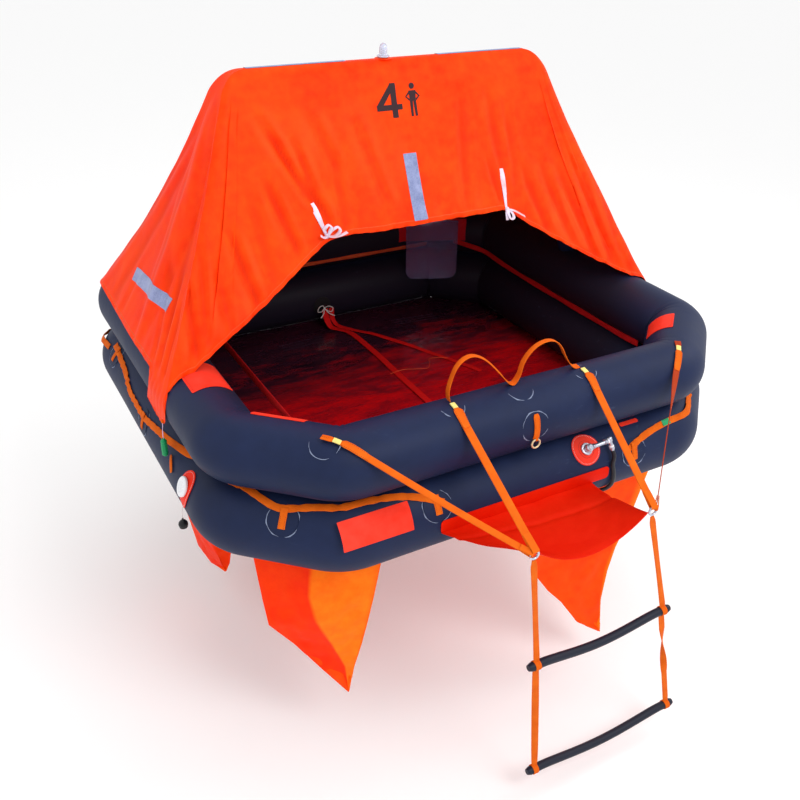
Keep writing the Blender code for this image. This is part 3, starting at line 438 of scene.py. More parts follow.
def crease_group():
    """Small soft creases, as coated cloth keeps from its pack."""
    tree, given, result = group("Creases", (("Vector", "Vector", None), ("Scale", "Float", 12.0)),
                                (("Height", "Float"),))
    bent = texture(tree, given["Vector"], 3.0)[1]
    moved = node(tree, "ShaderNodeMix", {0: 0.25, 4: given["Vector"], 5: bent}, data_type="VECTOR").outputs[1]
    cells = node(tree, "ShaderNodeTexVoronoi", {"Vector": moved, "Scale": given["Scale"]},
                 feature="DISTANCE_TO_EDGE").outputs[0]
    ridge = maths(tree, "MINIMUM", product(tree, cells, 3.0), 1.0)
    soft = texture(tree, moved, given["Scale"], 4.0)[0]
    tree.links.new(maths(tree, "MULTIPLY_ADD", ridge, 0.35, soft), result["Height"])
    return tree


GROUPS = {"Weave": weave_group, "Mottle": mottle_group, "Scuffs": scuff_group, "Webbing": webbing_group,
          "Creases": crease_group}


def effect(tree, name, place, **inputs):
    """Place one of the shared node groups in a material and give its first output."""
    shared = bpy.data.node_groups.get(name) or GROUPS[name]()
    return node(tree, "ShaderNodeGroup", {"Vector": place, **inputs}, node_tree=shared).outputs[0]


def clamp(value):
    return min(max(value, 0.0), 1.0)


def tint(colour, *factors):
    """A colour made darker or lighter, by one factor or by one for each channel."""
    return (*(clamp(value * factors[i % len(factors)]) for i, value in enumerate(colour)), 1.0)


def blend_colours(tree, mask, first, second):
    """Mix two colours by a mask and give the result's socket."""
    return node(tree, "ShaderNodeMix", {0: mask, 6: first, 7: second}, data_type="RGBA").outputs[2]


def surface(name, roughness, **constants):
    """A new material: its tree, its shader's inputs and the vectors that patterns read."""
    made = bpy.data.materials.new("raft_" + name)
    made.use_nodes = True
    tree = made.node_tree
    shader = tree.nodes["Principled BSDF"].inputs
    shader["Roughness"].default_value = roughness
    for key, value in constants.items():
        shader[key.replace("_", " ").title().replace("Ior", "IOR")].default_value = value
    place = node(tree, "ShaderNodeTexCoord").outputs["Object"]
    pattern = node(tree, "ShaderNodeUVMap", uv_map="pattern").outputs[0]
    return made, tree, shader, place, pattern


def bump(tree, shader, height, strength, distance, below=None):
    """Feed a height to the shader's normal, over another bump if there is one."""
    made = node(tree, "ShaderNodeBump", {"Height": height, "Strength": strength, "Distance": distance})
    if below is not None:
        tree.links.new(below, made.inputs["Normal"])
    tree.links.new(made.outputs[0], shader["Normal"])
    return made.outputs[0]


def spread_roughness(tree, shader, mask, low, high):
    """Let the roughness follow a mask."""
    tree.links.new(remap(tree, mask, 0.0, 1.0, low, high), shader["Roughness"])


def rubber_finish(name, factor):
    """Coated tube fabric: fine leather grain, darker and lighter areas, pale rubbed marks, and painted shade that
    darkens the inner faces.
    """
    made, tree, shader, place, _ = surface(name, 0.55, specular_ior_level=0.16)
    colour = colours().rubber
    tone = effect(tree, "Mottle", place, Scale=3.2, Contrast=1.8)
    base = blend_colours(tree, tone, tint(colour, 0.78 * factor), tint(colour, 1.30 * factor))
    # Painted shade: the tubes' inner faces, under the canopy, turn a dark purple where the "inside" layer is high.
    base = blend_colours(tree, painted(tree, "inside"), base, (0.0150, 0.0105, 0.0220, 1.0))
    marks = effect(tree, "Scuffs", place, Scale=26.0, Amount=0.46)
    worn = blend_colours(tree, product(tree, marks, 0.8), base, (0.085, 0.12, 0.21, 1.0))
    tree.links.new(worn, shader["Base Color"])
    spread_roughness(tree, shader, tone, 0.46, 0.62)
    soft = effect(tree, "Creases", place, Scale=9.0)
    first = bump(tree, shader, soft, 0.16, 0.004)
    bump(tree, shader, texture(tree, place, 900.0)[0], 0.15, 0.0004, first)
    return made


def cloth_finish(name, colour, light, creases, seam=0.0):
    """Coated cloth: its weave, small creases, tone that drifts, and a stitched hem where it has one; the canopy also
    gets painted shade in its folds and painted highlights on its ridges, and the pockets a painted lit side.
    """
    made, tree, shader, place, pattern = surface(name, 0.55, specular_ior_level=0.05)
    tone = effect(tree, "Mottle", place, Scale=3.4, Contrast=3.0)
    pale = (clamp(colour[0] * 1.02), clamp(colour[1] * 1.55 * light), colour[2] * 1.7, 1.0)
    base = blend_colours(tree, tone, tint(colour, 0.95, 0.55, 0.4), pale)
    if name == "pocket":
        # Painted light: the pocket sides that face the lamps are painted a paler orange, as if lit through the cloth.
        lit = painted(tree, "glow")
        base = blend_colours(tree, lit, base, blend_colours(tree, tone, (0.95, 0.13, 0.002, 1.0),
                                                            (1.0, 0.24, 0.010, 1.0)))
    if name == "canopy":
        # Painted shade deepens the red in the canopy's sunk folds, and a painted highlight lightens its raised ridges;
        # both follow the "fold" layer.
        fold = painted(tree, "fold")
        sunk = remap(tree, fold, 0.56, 1.0, 0.0, 0.62)
        raised = remap(tree, fold, 0.44, 0.20, 0.0, 0.42)
        base = blend_colours(tree, sunk, base, tint(colour, 0.66, 0.36, 0.3))
        base = blend_colours(tree, raised, base, (1.0, 0.095, 0.016, 1.0))
    weave = effect(tree, "Weave", pattern, Threads=900.0)
    shade = weave.node.outputs["Shade"]
    base = blend_colours(tree, product(tree, shade, 0.14), base, tint(colour, 0.45, 0.3, 0.3))
    height = effect(tree, "Creases", place, Scale=7.5)
    if seam:
        away = node(tree, "ShaderNodeSeparateXYZ", {0: pattern}).outputs
        near = maths(tree, "ABSOLUTE", maths(tree, "SUBTRACT", away[1], seam))
        line = remap(tree, near, 0.0006, 0.0022, 1.0, 0.0)
        wave = maths(tree, "SINE", product(tree, away[0], 6.283 / sizes().stitch))
        stitched = maths(tree, "GREATER_THAN", wave, -0.35)
        base = blend_colours(tree, product(tree, line, 0.55), base, tint(colour, 0.5, 0.25, 0.0))
        base = blend_colours(tree, product(tree, product(tree, line, stitched), 0.4), base,
                             (1.0, 0.25, 0.08, 1.0))
        height = maths(tree, "MULTIPLY_ADD", line, -0.3, height)
    tree.links.new(base, shader["Base Color"])
    spread_roughness(tree, shader, tone, 0.42, 0.60)
    first = bump(tree, shader, height, creases, 0.006)
    bump(tree, shader, weave, 0.10, 0.0003, first)
    return made


def webbing_finish(name, colour):
    """Woven strap."""
    made, tree, shader, _, pattern = surface(name, 0.72, specular_ior_level=0.08)
    woven = effect(tree, "Webbing", pattern, Ribs=420.0)
    shade = woven.node.outputs["Shade"]
    pale = (clamp(colour[0] * 1.1), clamp(colour[1] * 1.30), colour[2] * 2.2, 1.0)
    tree.links.new(blend_colours(tree, shade, tint(colour, 0.80, 0.58, 0.5), pale), shader["Base Color"])
    bump(tree, shader, woven, 0.45, 0.0006)
    return made


def floor_finish(name):
    """The glossy floor sheet: painted shade makes it near black at the back, under the canopy, and a painted pool of
    light makes it red and streaked towards the front.
    """
    made, tree, shader, place, _ = surface(name, 0.20, specular_ior_level=0.45, coat_weight=0.3,
                                           coat_roughness=0.10)
    long = node(tree, "ShaderNodeMapping", {"Vector": place, "Scale": (0.7, 2.6, 1.0),
                                            "Rotation": (0.0, 0.0, 0.16)}).outputs[0]
    streak = effect(tree, "Mottle", long, Scale=2.3, Contrast=4.5)
    fine = effect(tree, "Mottle", long, Scale=9.0, Contrast=5.0)
    ways = node(tree, "ShaderNodeSeparateXYZ", {0: place}).outputs
    # Painted light and shade: the floor runs from near black at the back to a lit red at the front, with a streaked
    # edge between.
    forward = maths(tree, "MULTIPLY_ADD", ways[0], 0.10, product(tree, ways[1], -1.0))
    uneven = maths(tree, "MULTIPLY_ADD", streak, 0.30, forward)
    near = remap(tree, uneven, -0.28, 0.12, 0.03, 1.0)
    lit = product(tree, near, maths(tree, "MULTIPLY_ADD", fine, 0.55, 0.45))
    # The near-black tone of the painted shade at the back of the floor.
    dark = blend_colours(tree, fine, (0.013, 0.005, 0.014, 1.0), (0.034, 0.008, 0.020, 1.0))
    tree.links.new(blend_colours(tree, lit, dark, tint(colours().floor, 1.9)), shader["Base Color"])
    spread_roughness(tree, shader, streak, 0.34, 0.16)
    bump(tree, shader, effect(tree, "Creases", long, Scale=3.2), 0.45, 0.008)
    return made


def plain_finish(name, colour, roughness, scale, extra=None):
    """A moulded, painted or cast surface with a fine grain and slight unevenness."""
    made, tree, shader, place, _ = surface(name, roughness, **(extra or {"specular_ior_level": 0.3}))
    tone = effect(tree, "Mottle", place, Scale=scale, Contrast=1.2)
    tree.links.new(blend_colours(tree, tone, tint(colour, 0.80), tint(colour, 1.12)), shader["Base Color"])
    spread_roughness(tree, shader, tone, roughness - 0.08, roughness + 0.10)
    bump(tree, shader, tone, 0.30, 0.0004)
    return made


def tape_finish(name):
    """Retro-reflective tape: silver-blue cells under a smooth film."""
    made, tree, shader, place, _ = surface(name, 0.36, specular_ior_level=0.3)
    cells = node(tree, "ShaderNodeTexVoronoi", {"Vector": place, "Scale": 210.0}).outputs[0]
    clouds = effect(tree, "Mottle", place, Scale=26.0, Contrast=4.0)
    pale = blend_colours(tree, clouds, (0.13, 0.155, 0.33, 1.0), (0.27, 0.31, 0.54, 1.0))
    tree.links.new(blend_colours(tree, product(tree, cells, 0.5), pale, (0.31, 0.36, 0.56, 1.0)),
                   shader["Base Color"])
    bump(tree, shader, effect(tree, "Creases", place, Scale=30.0), 0.4, 0.002)
    return made


def clear_finish(name, colour, roughness, weight):
    """Clear plastic with faint flow marks."""
    made, tree, shader, place, _ = surface(name, roughness, transmission_weight=weight, ior=1.45)
    tone = effect(tree, "Mottle", place, Scale=24.0, Contrast=1.6)
    tree.links.new(blend_colours(tree, tone, tint(colour, 0.85), tint(colour, 1.0)), shader["Base Color"])
    bump(tree, shader, effect(tree, "Creases", place, Scale=16.0), 0.55, 0.005)
    return made


def finish_values():
    """What builds each finish, and the values that it takes."""
    palette = colours()
    return {
        "tube": (rubber_finish, 1.0),
        "disc": (rubber_finish, 0.9),
        "canopy": (cloth_finish, palette.canopy, 1.0, 0.34, 0.016),
        "ramp": (cloth_finish, palette.ramp, 0.8, 0.5),
        "pocket": (cloth_finish, palette.pocket, 1.0, 0.7),
        "coral": (cloth_finish, palette.coral, 0.8, 0.25),
        "ribbon": (cloth_finish, (0.74, 0.56, 0.66), 1.0, 0.3),
        "backing": (cloth_finish, (0.62, 0.010, 0.022), 1.0, 0.4),
        "tag": (cloth_finish, (0.85, 0.80, 0.22), 1.0, 0.2),
        "webbing": (webbing_finish, palette.webbing),
        "back_webbing": (webbing_finish, (0.95, 0.13, 0.03)),
        "inner_webbing": (webbing_finish, (0.62, 0.012, 0.010)),
        "floor_webbing": (webbing_finish, (0.72, 0.008, 0.006)),
        # A darker webbing colour, used on the right side strap.
        "worn_webbing": (webbing_finish, (0.40, 0.045, 0.008)),
        "cord": (webbing_finish, (0.86, 0.66, 0.70)),
        "rung": (plain_finish, (0.007, 0.010, 0.024), 0.50, 90.0),
        "hose": (plain_finish, (0.012, 0.013, 0.018), 0.42, 90.0),
        "white": (plain_finish, (0.86, 0.86, 0.90), 0.38, 60.0),
        "cap": (plain_finish, (0.010, 0.010, 0.012), 0.45, 80.0),
        "cell": (plain_finish, (0.004, 0.30, 0.10), 0.40, 80.0),
        "print": (plain_finish, (0.024, 0.003, 0.008), 0.6, 30.0),
        "thread": (plain_finish, (0.80, 0.74, 0.72), 0.7, 200.0),
        "dark_thread": (plain_finish, (0.25, 0.012, 0.012), 0.7, 200.0),
        "chalk": (plain_finish, (0.20, 0.24, 0.36), 0.7, 120.0),
        "seam": (plain_finish, (0.085, 0.045, 0.085), 0.6, 120.0),
        "steel": (plain_finish, (0.55, 0.58, 0.68), 0.30, 120.0, {"metallic": 0.85}),
        "gold": (plain_finish, (0.78, 0.60, 0.36), 0.36, 120.0, {"metallic": 0.5}),
        "cylinder": (plain_finish, (0.30, 0.32, 0.36), 0.42, 30.0, {"coat_weight": 0.2}),
        "floor": (floor_finish,),
        "tape": (tape_finish,),
        "film": (clear_finish, (0.66, 0.56, 1.0), 0.12, 0.84),
        "lamp": (clear_finish, (0.80, 0.84, 1.0), 0.18, 0.55),
    }


def finish_of(name):
    """The material of a finish, built when it is first asked for."""
    made = bpy.data.materials.get("raft_" + name)
    if made is None:
        build, *values = finish_values()[name]
        made = build(name, *values)
    return made


def lay_pattern(shape, turn):
    """Write each vertex's along and across, in metres, as a UV map; turn is where each starts again."""
    layers = [shape.verts.layers.float[name] for name in ("along", "across")]
    pattern = shape.loops.layers.uv.new("pattern")
    for face in shape.faces:
        for axis, layer in enumerate(layers):
            values = [loop.vert[layer] for loop in face.loops]
            top = max(values)
            for loop, value in zip(face.loops, values):
                if turn[axis] and top - value > turn[axis] / 2:
                    value += turn[axis]
                loop[pattern].uv[axis] = value


def show(name, shape, finish, nodes=(), body="raft", sharp=40.0, turn=(0.0, 0.0), outward=True):
    """Make a bmesh one shown piece that rides on a body and stands for its CAD nodes."""
    if shape.verts.layers.float.get("along"):
        lay_pattern(shape, turn)
    if outward:
        bmesh.ops.recalc_face_normals(shape, faces=shape.faces)
    mesh = bpy.data.meshes.new(name)
    shape.to_mesh(mesh)
    shape.free()
    mesh.materials.append(finish_of(finish))
    for face in mesh.polygons:
        face.use_smooth = True
    mesh.set_sharp_from_angle(angle=math.radians(sharp))
    piece = bpy.data.objects.new(name, mesh)
    bpy.context.scene.collection.objects.link(piece)
    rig.ride(piece, body)
    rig.slot(piece, SLOTS.get(finish, finish))
    if nodes:
        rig.replaces(piece, *nodes)
    return piece


def new_skin(*more):
    """An empty bmesh with the two layers that patterns are laid by, and any more that are named."""
    shape = bmesh.new()
    return shape, *(shape.verts.layers.float.new(name) for name in ("along", "across", *more))


def grid_skin(columns, rows, size, *more):
    """A square grid with the same layers."""
    made = new_skin(*more)
    bmesh.ops.create_grid(made[0], x_segments=columns, y_segments=rows, size=size)
    return made


def area_of(shape):
    return sum(face.calc_area() for face in shape.faces)


def show_sheet(name, shape, finish, nodes, wall, flat, held, rests_on, share=1.0, **look):
    """Show a sheet of cloth: wall is its thickness and offset, flat its size when cut out."""
    area = min(area_of(shape), share * flat[0] * flat[1])
    piece = show(name, shape, finish, nodes, sharp=80.0, **look)
    solid = piece.modifiers.new("wall", "SOLIDIFY")
    solid.thickness, solid.offset = wall
    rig.sheet(piece, flat=flat, held=held, area=area, rests_on=rests_on)


def bend(start, corner, end, t):
    """A point of the curve that leaves start and reaches end, drawn towards corner."""
    return start * (1 - t) ** 2 + corner * 2 * t * (1 - t) + end * t ** 2


def stations(points, facings, closed=False):
    """A matrix at each point of a path: X across, Y the way it faces, Z along."""
    points = [Vector(point) for point in points]
    count = len(points)
    made = []
    for i, point in enumerate(points):
        if closed:
            along = points[(i + 1) % count] - points[i - 1]
        else:
            along = points[min(i + 1, count - 1)] - points[max(i - 1, 0)]
        along.normalize()
        across = Vector(facings[i]).cross(along).normalized()
        turn = Matrix((across, along.cross(across), along)).transposed().to_4x4()
        made.append(Matrix.Translation(point) @ turn)
    return made


def sweep(outline, places, closed=False, widths=None, flat=False):
    """A skin extruded from an outline of (across, out) points through every place; its ends are filled."""
    shape, along, across = new_skin()
    ring = [shape.verts.new((x, y, 0.0)) for x, y in outline]
    walked = 0.0
    for i, vert in enumerate(ring):
        if i:
            walked += (vert.co - ring[i - 1].co).length
        vert[across] = vert.co.x if flat else walked
    edges = [shape.edges.new((ring[i - 1], ring[i])) for i in range(len(ring))]
    if widths:
        places = [place @ Matrix.Diagonal((*width, 1.0, 1.0)) for place, width in zip(places, widths)]
    bmesh.ops.transform(shape, matrix=places[0], verts=ring)
    first = edges
    gone = 0.0
    for before, after in zip(places, places[1:]):
        made = bmesh.ops.extrude_edge_only(shape, edges=edges)["geom"]
        fresh = {item for item in made if isinstance(item, bmesh.types.BMVert)}
        edges = [item for item in made if isinstance(item, bmesh.types.BMEdge)
                 and all(vert in fresh for vert in item.verts)]
        bmesh.ops.transform(shape, matrix=after @ before.inverted(), verts=list(fresh))
        gone += (after.translation - before.translation).length
        for vert in fresh:
            vert[along] = gone
    if closed:
        bmesh.ops.bridge_loops(shape, edges=first + edges)
    else:
        bmesh.ops.edgeloop_fill(shape, edges=first)
        bmesh.ops.edgeloop_fill(shape, edges=edges)
    return shape


def circle(radius, sides=40):
    """An outline of a round section."""
    return [(radius * math.cos(2 * math.pi * i / sides), radius * math.sin(2 * math.pi * i / sides))
            for i in range(sides)]


def path_length(points, closed=False):
    points = [Vector(point) for point in points]
    pairs = list(zip(points, points[1:])) + ([(points[-1], points[0])] if closed else [])
    return sum((b - a).length for a, b in pairs)


def pipe(name, points, radius, finish, nodes=(), body="raft", sides=16, facing=None, bores=0.0):
    """A round rod or tube along a line of points; bores is how deep its ends are hollow."""
    way = Vector(facing) if facing else None
    facings = []
    for i, point in enumerate(points):
        along = Vector(points[min(i + 1, len(points) - 1)]) - Vector(points[max(i - 1, 0)])
        if way is None:
            way = Vector((0, 0, 1)) if abs(along.normalized().z) < 0.9 else Vector((1, 0, 0))
        way = (way - along.normalized() * way.dot(along.normalized())).normalized()
        facings.append(way)
    shape = sweep(circle(radius, sides), stations(points, facings))
    if bores:
        ends = [face for face in shape.faces if len(face.verts) > 4]
        bmesh.ops.inset_individual(shape, faces=ends, thickness=radius * 0.3, depth=0.0)
        for face in ends:
            bmesh.ops.translate(shape, vec=-face.normal * bores, verts=face.verts)
    return show(name, shape, finish, nodes, body, turn=(0.0, 2 * math.pi * radius))


def strap_outline(width, thick):
    """The section of a woven strap, with rolled edges."""
    half = width / 2
    up = thick / 2
    edge = min(up * 0.8, half * 0.3)
    return [(half, -up + edge * 0.6), (half, up - edge * 0.6), (half - edge, up), (0.0, up * 0.94),
            (-half + edge, up), (-half, up - edge * 0.6), (-half, -up + edge * 0.6), (-half + edge, -up),
            (0.0, -up * 0.94), (half - edge, -up)]


def strap(name, points, facings, finish="webbing", nodes=(), body="raft", width=WEB_WIDTH, thick=WEB_THICK,
          widths=None):
    """A flat woven strap along points; each facing is the way its broad side looks there."""
    if widths:
        widths = [(w, 1.0) for w in widths]
    shape = sweep(strap_outline(width, thick), stations(points, facings), widths=widths, flat=True)
    return show(name, shape, finish, nodes, body, sharp=60.0)


def smooth_route(points, steps):
    """Points of a smooth curve through a route."""
    points = [Vector(point) for point in points]
    smooth = []
    for i, (b, c) in enumerate(zip(points, points[1:])):
        a = points[max(i - 1, 0)]
        d = points[min(i + 2, len(points) - 1)]
        for k in range(steps):
            t = k / steps
            smooth.append(0.5 * (2 * b + (c - a) * t + (2 * a - 5 * b + 4 * c - d) * t ** 2
                                 + (3 * b - a - 3 * c + d) * t ** 3))
    return smooth + [points[-1]]


def relax(points):
    """Soften the turns of a path; its ends stay."""
    for again in range(3):
        between = [b * 0.5 + (a + c) * 0.25 for a, b, c in zip(points, points[1:], points[2:])]
        points = [points[0], *between, points[-1]]
    return points


def arc(centre, radius, degrees):
    """Points and ways out of an arc about an X line through centre, at angles from +Y."""
    turns = [math.radians(angle) for angle in degrees]
    outs = [Vector((0, math.cos(turn), math.sin(turn))) for turn in turns]
    return [centre + out * radius for out in outs], outs


def standing(place, axis):
    """A matrix that sets +Z along an axis at a place."""
    turn = Vector((0, 0, 1)).rotation_difference(Vector(axis).normalized())
    return Matrix.Translation(place) @ turn.to_matrix().to_4x4()


def lathe(name, profile, centre, axis, finish, nodes=(), steps=40, sharp=40.0):
    """Spin a profile of (radius, height) points about an axis through centre."""
    shape = bmesh.new()
    line = [shape.verts.new((radius, 0.0, height)) for radius, height in profile]
    edges = [shape.edges.new(pair) for pair in zip(line, line[1:])]
    bmesh.ops.spin(shape, geom=line + edges, axis=(0, 0, 1), cent=(0, 0, 0), angle=2 * math.pi, steps=steps,
                   use_merge=True)
    bmesh.ops.remove_doubles(shape, verts=shape.verts, dist=1e-5)
    bmesh.ops.transform(shape, matrix=standing(centre, axis), verts=shape.verts)
    return show(name, shape, finish, nodes, sharp=sharp)


def beads(name, places, size, finish, sides=8, rings=6):
    """One piece of many small rounded lumps, one at each place's matrix."""
    shape = bmesh.new()
    for place in places:
        bmesh.ops.create_uvsphere(shape, u_segments=sides, v_segments=rings, radius=1.0,
                                  matrix=place @ Matrix.Diagonal((*size, 1.0)))
    show(name, shape, finish, sharp=80.0)


def knot(name, place, radius, squash, finish, uneven=0.0, scale=1.0, finer=3):
    """A tied lump with an uneven surface."""
    shape = bmesh.new()
    bmesh.ops.create_icosphere(shape, subdivisions=finer, radius=radius,
                               matrix=Matrix.Translation(place) @ Matrix.Diagonal((*squash, 1.0)))
    for vert in shape.verts:
        vert.co += (vert.co - place) * uneven * noise.noise(vert.co * scale)
    show(name, shape, finish, sharp=80.0)


def plan_sides():
    """The eight sides of the tubes' centre line in plan, as outward normal and distance."""
    diagonal = Vector((CUT_Y, CUT_X)).normalized()
    distance = diagonal.dot(Vector((HALF_X, HALF_Y - CUT_Y)))
    sides = [(Vector((diagonal.x * sx, diagonal.y * sy)), distance)
             for sx, sy in ((1, 1), (-1, 1), (-1, -1), (1, -1))]
    for normal, reach in (((1, 0), HALF_X), ((-1, 0), HALF_X), ((0, 1), HALF_Y), ((0, -1), HALF_Y)):
        sides.append((Vector(normal), reach))
    return sides


def plan_point(degrees, grow=0.0):
    """Where a ray from the centre meets the plan, grown outwards, and the outward normal there."""
    ray = Vector((math.cos(math.radians(degrees)), math.sin(math.radians(degrees))))
    hits = [((reach + grow) / normal.dot(ray), normal) for normal, reach in plan_sides()
            if normal.dot(ray) > 1e-6]
    length, normal = min(hits, key=lambda hit: hit[0])
    return ray * length, normal


def plan_loop():
    """The tubes' centre line in plan: points, and how near each is to the middle of a bend."""
    quarter = [Vector((HALF_X, HALF_Y - CUT_Y)), Vector((HALF_X - CUT_X, HALF_Y))]
    corners = []
    for sx, sy, turn in ((1, 1, 1), (-1, 1, -1), (-1, -1, 1), (1, -1, -1)):
        corners += [Vector((p.x * sx, p.y * sy)) for p in quarter[::turn]]
    loop = []
    bends = []
    for i, corner in enumerate(corners):
        before = (corners[i - 1] - corner).normalized()
        after = corners[(i + 1) % 8] - corner
        start = corner + before * BEND
        end = corner + after.normalized() * BEND
        for step in range(13):
            t = step / 12
            loop.append(bend(start, corner, end, t))
            bends.append(t - 0.5)
        run = after.length - 2 * BEND
        steps = max(2, round(run / 0.045))
        for step in range(1, steps):
            loop.append(end + after.normalized() * run * step / steps)
            bends.append(9.0)
    return loop, bends


def out_of(normal, angle):
    """The way out of a tube on the side that normal faces, so far up or down it."""
    level = math.cos(angle)
    return Vector((normal.x * level, normal.y * level, math.sin(angle)))


def side_of(side):
    """A side's outward normal, and how far out its centre line runs."""
    normal = Vector(side).normalized()
    return normal, next(reach for way, reach in plan_sides() if way.dot(normal) > 0.999)


def round_spot(bearing, angle, tube, lift, inward=False, roll=0.0):
    """A point lifted off a tube where a ray from the middle meets it, with the way out there, rolled."""
    radius, height = TUBES[tube]
    radius += lift
    sign = -1 if inward else 1
    spot, normal = plan_point(bearing, sign * radius * math.cos(angle))
    return Vector((spot.x, spot.y, height + radius * math.sin(angle))), out_of(normal * sign, angle + roll)


def tube_spot(side, along, angle, tube, lift):
    """A point lifted off a straight side of a tube, with the way out there; along runs anticlockwise."""
    radius, height = TUBES[tube]
    normal, reach = side_of(side)
    out = out_of(normal, angle)
    base = normal * reach + Vector((-normal.y, normal.x)) * along
    return Vector((base.x, base.y, height)) + out * (radius + lift), out


def flat_shape(outline, step=0.009):
    """An outline filled and cut into small faces, so that it can be laid over a curve."""
    shape, along, across = new_skin()
    shape.faces.new([shape.verts.new((a, b, 0.0)) for a, b in outline])
    for axis in (0, 1):
        low = min(point[axis] for point in outline)
        high = max(point[axis] for point in outline)
        for cut in range(1, int((high - low) / step) + 1):
            spot = Vector((0, 0, 0))
            spot[axis] = low + cut * step
            normal = Vector((0, 0, 0))
            normal[axis] = 1.0
            bmesh.ops.bisect_plane(shape, geom=shape.verts[:] + shape.edges[:] + shape.faces[:],
                                   plane_co=spot, plane_no=normal)
    for vert in shape.verts:
        vert[along] = vert.co.x
        vert[across] = vert.co.y
    return shape


def extruded(shape):
    """Extrude all faces of a laid shape and give the new vertices."""
    made = bmesh.ops.extrude_face_region(shape, geom=shape.faces[:])["geom"]
    return [item for item in made if isinstance(item, bmesh.types.BMVert)]


def tube_patch(name, side, tube, centre, outline, thick, finish, nodes=(), lift=2 * GAP):
    """A thin patch that follows a tube; outline holds (along, round) in metres."""
    radius, height = TUBES[tube]
    normal, reach = side_of(side)
    shape = flat_shape(outline)
    for vert in shape.verts:
        vert.co = tube_spot(side, centre[0] + vert.co.x, centre[1] + vert.co.y / radius, tube, lift)[0]
    for vert in extruded(shape):
        away = Vector((vert.co.x, vert.co.y)).dot(normal) - reach
        vert.co += Vector((normal.x * away, normal.y * away, vert.co.z - height)).normalized() * thick
    return show(name, shape, finish, nodes, sharp=50.0)


def box_outline(half_along, half_round, corner=0.004):
    """A rectangle's outline with its corners rounded."""
    outline = []
    for sx, sy, start in ((1, 1, 0), (-1, 1, 90), (-1, -1, 180), (1, -1, 270)):
        for step in range(5):
            angle = math.radians(start + 22.5 * step)
            outline.append((sx * (half_along - corner) + corner * math.cos(angle),
                            sy * (half_round - corner) + corner * math.sin(angle)))
    return outline


def stitches(name, spots, finish="thread", size=None):
    """One piece of many small stitches; spots holds (middle, way along, way out)."""
    places = []
    for spot, along, out in spots:
        along = Vector(along).normalized()
        across = Vector(out).cross(along).normalized()
        turn = Matrix((along, across, along.cross(across))).transposed().to_4x4()
        places.append(Matrix.Translation(spot) @ turn)
    beads(name, places, size or (sizes().stitch * 0.42, 0.0007, 0.0005), finish, 6, 4)


def stitch_spots(points, outs, closed=False, spacing=None):
    """Middles, ways and outs of stitches evenly spaced along a path."""
    spacing = spacing or sizes().stitch * 1.6
    points = [Vector(point) for point in points]
    if closed:
        points.append(points[0])
        outs = list(outs) + [outs[0]]
    total = path_length(points)
    count = max(2, round(total / spacing))
    spots = []
    piece = 0
    walked = 0.0
    for i in range(count):
        goal = (i + 0.5) * total / count
        while piece < len(points) - 2 and walked + (points[piece + 1] - points[piece]).length < goal:
            walked += (points[piece + 1] - points[piece]).length
            piece += 1
        run = points[piece + 1] - points[piece]
        t = min(max((goal - walked) / max(run.length, 1e-9), 0.0), 1.0)
        spots.append((points[piece].lerp(points[piece + 1], t), run,
                      Vector(outs[piece]).lerp(Vector(outs[piece + 1]), t)))
    return spots


def patch_stitches(name, side, tube, centre, outline, lift, finish="thread", spacing=None):
    """Stitches that run round an outline laid on a tube."""
    spots = [tube_spot(side, centre[0] + a, centre[1] + b / TUBES[tube][0], tube, lift) for a, b in outline]
    stitches(name, stitch_spots(*zip(*spots), True, spacing), finish)


def sew(name, rails, spacing, length=0.0018):
    """One piece of dark stitches along rails, each given as its points and the ways it faces."""
    spots = []
    for points, facings in rails:
        spots += stitch_spots(points, facings, spacing=spacing)
    stitches(name, spots, "dark_thread", (length, 0.0005, 0.0004))


def aim(position, heading, pitch, roll=0.0):
    """A matrix that looks from position along a heading clockwise from +Y, pitched down and rolled."""
    forward = Vector((math.sin(heading) * math.cos(pitch), math.cos(heading) * math.cos(pitch),
                      -math.sin(pitch)))
    right = Vector((math.cos(heading), -math.sin(heading), 0.0))
    up = right.cross(forward)
    level = right * math.cos(roll) + up * math.sin(roll)
    plumb = up * math.cos(roll) - right * math.sin(roll)
    return Matrix.Translation(position) @ Matrix((level, plumb, -forward)).transposed().to_4x4()


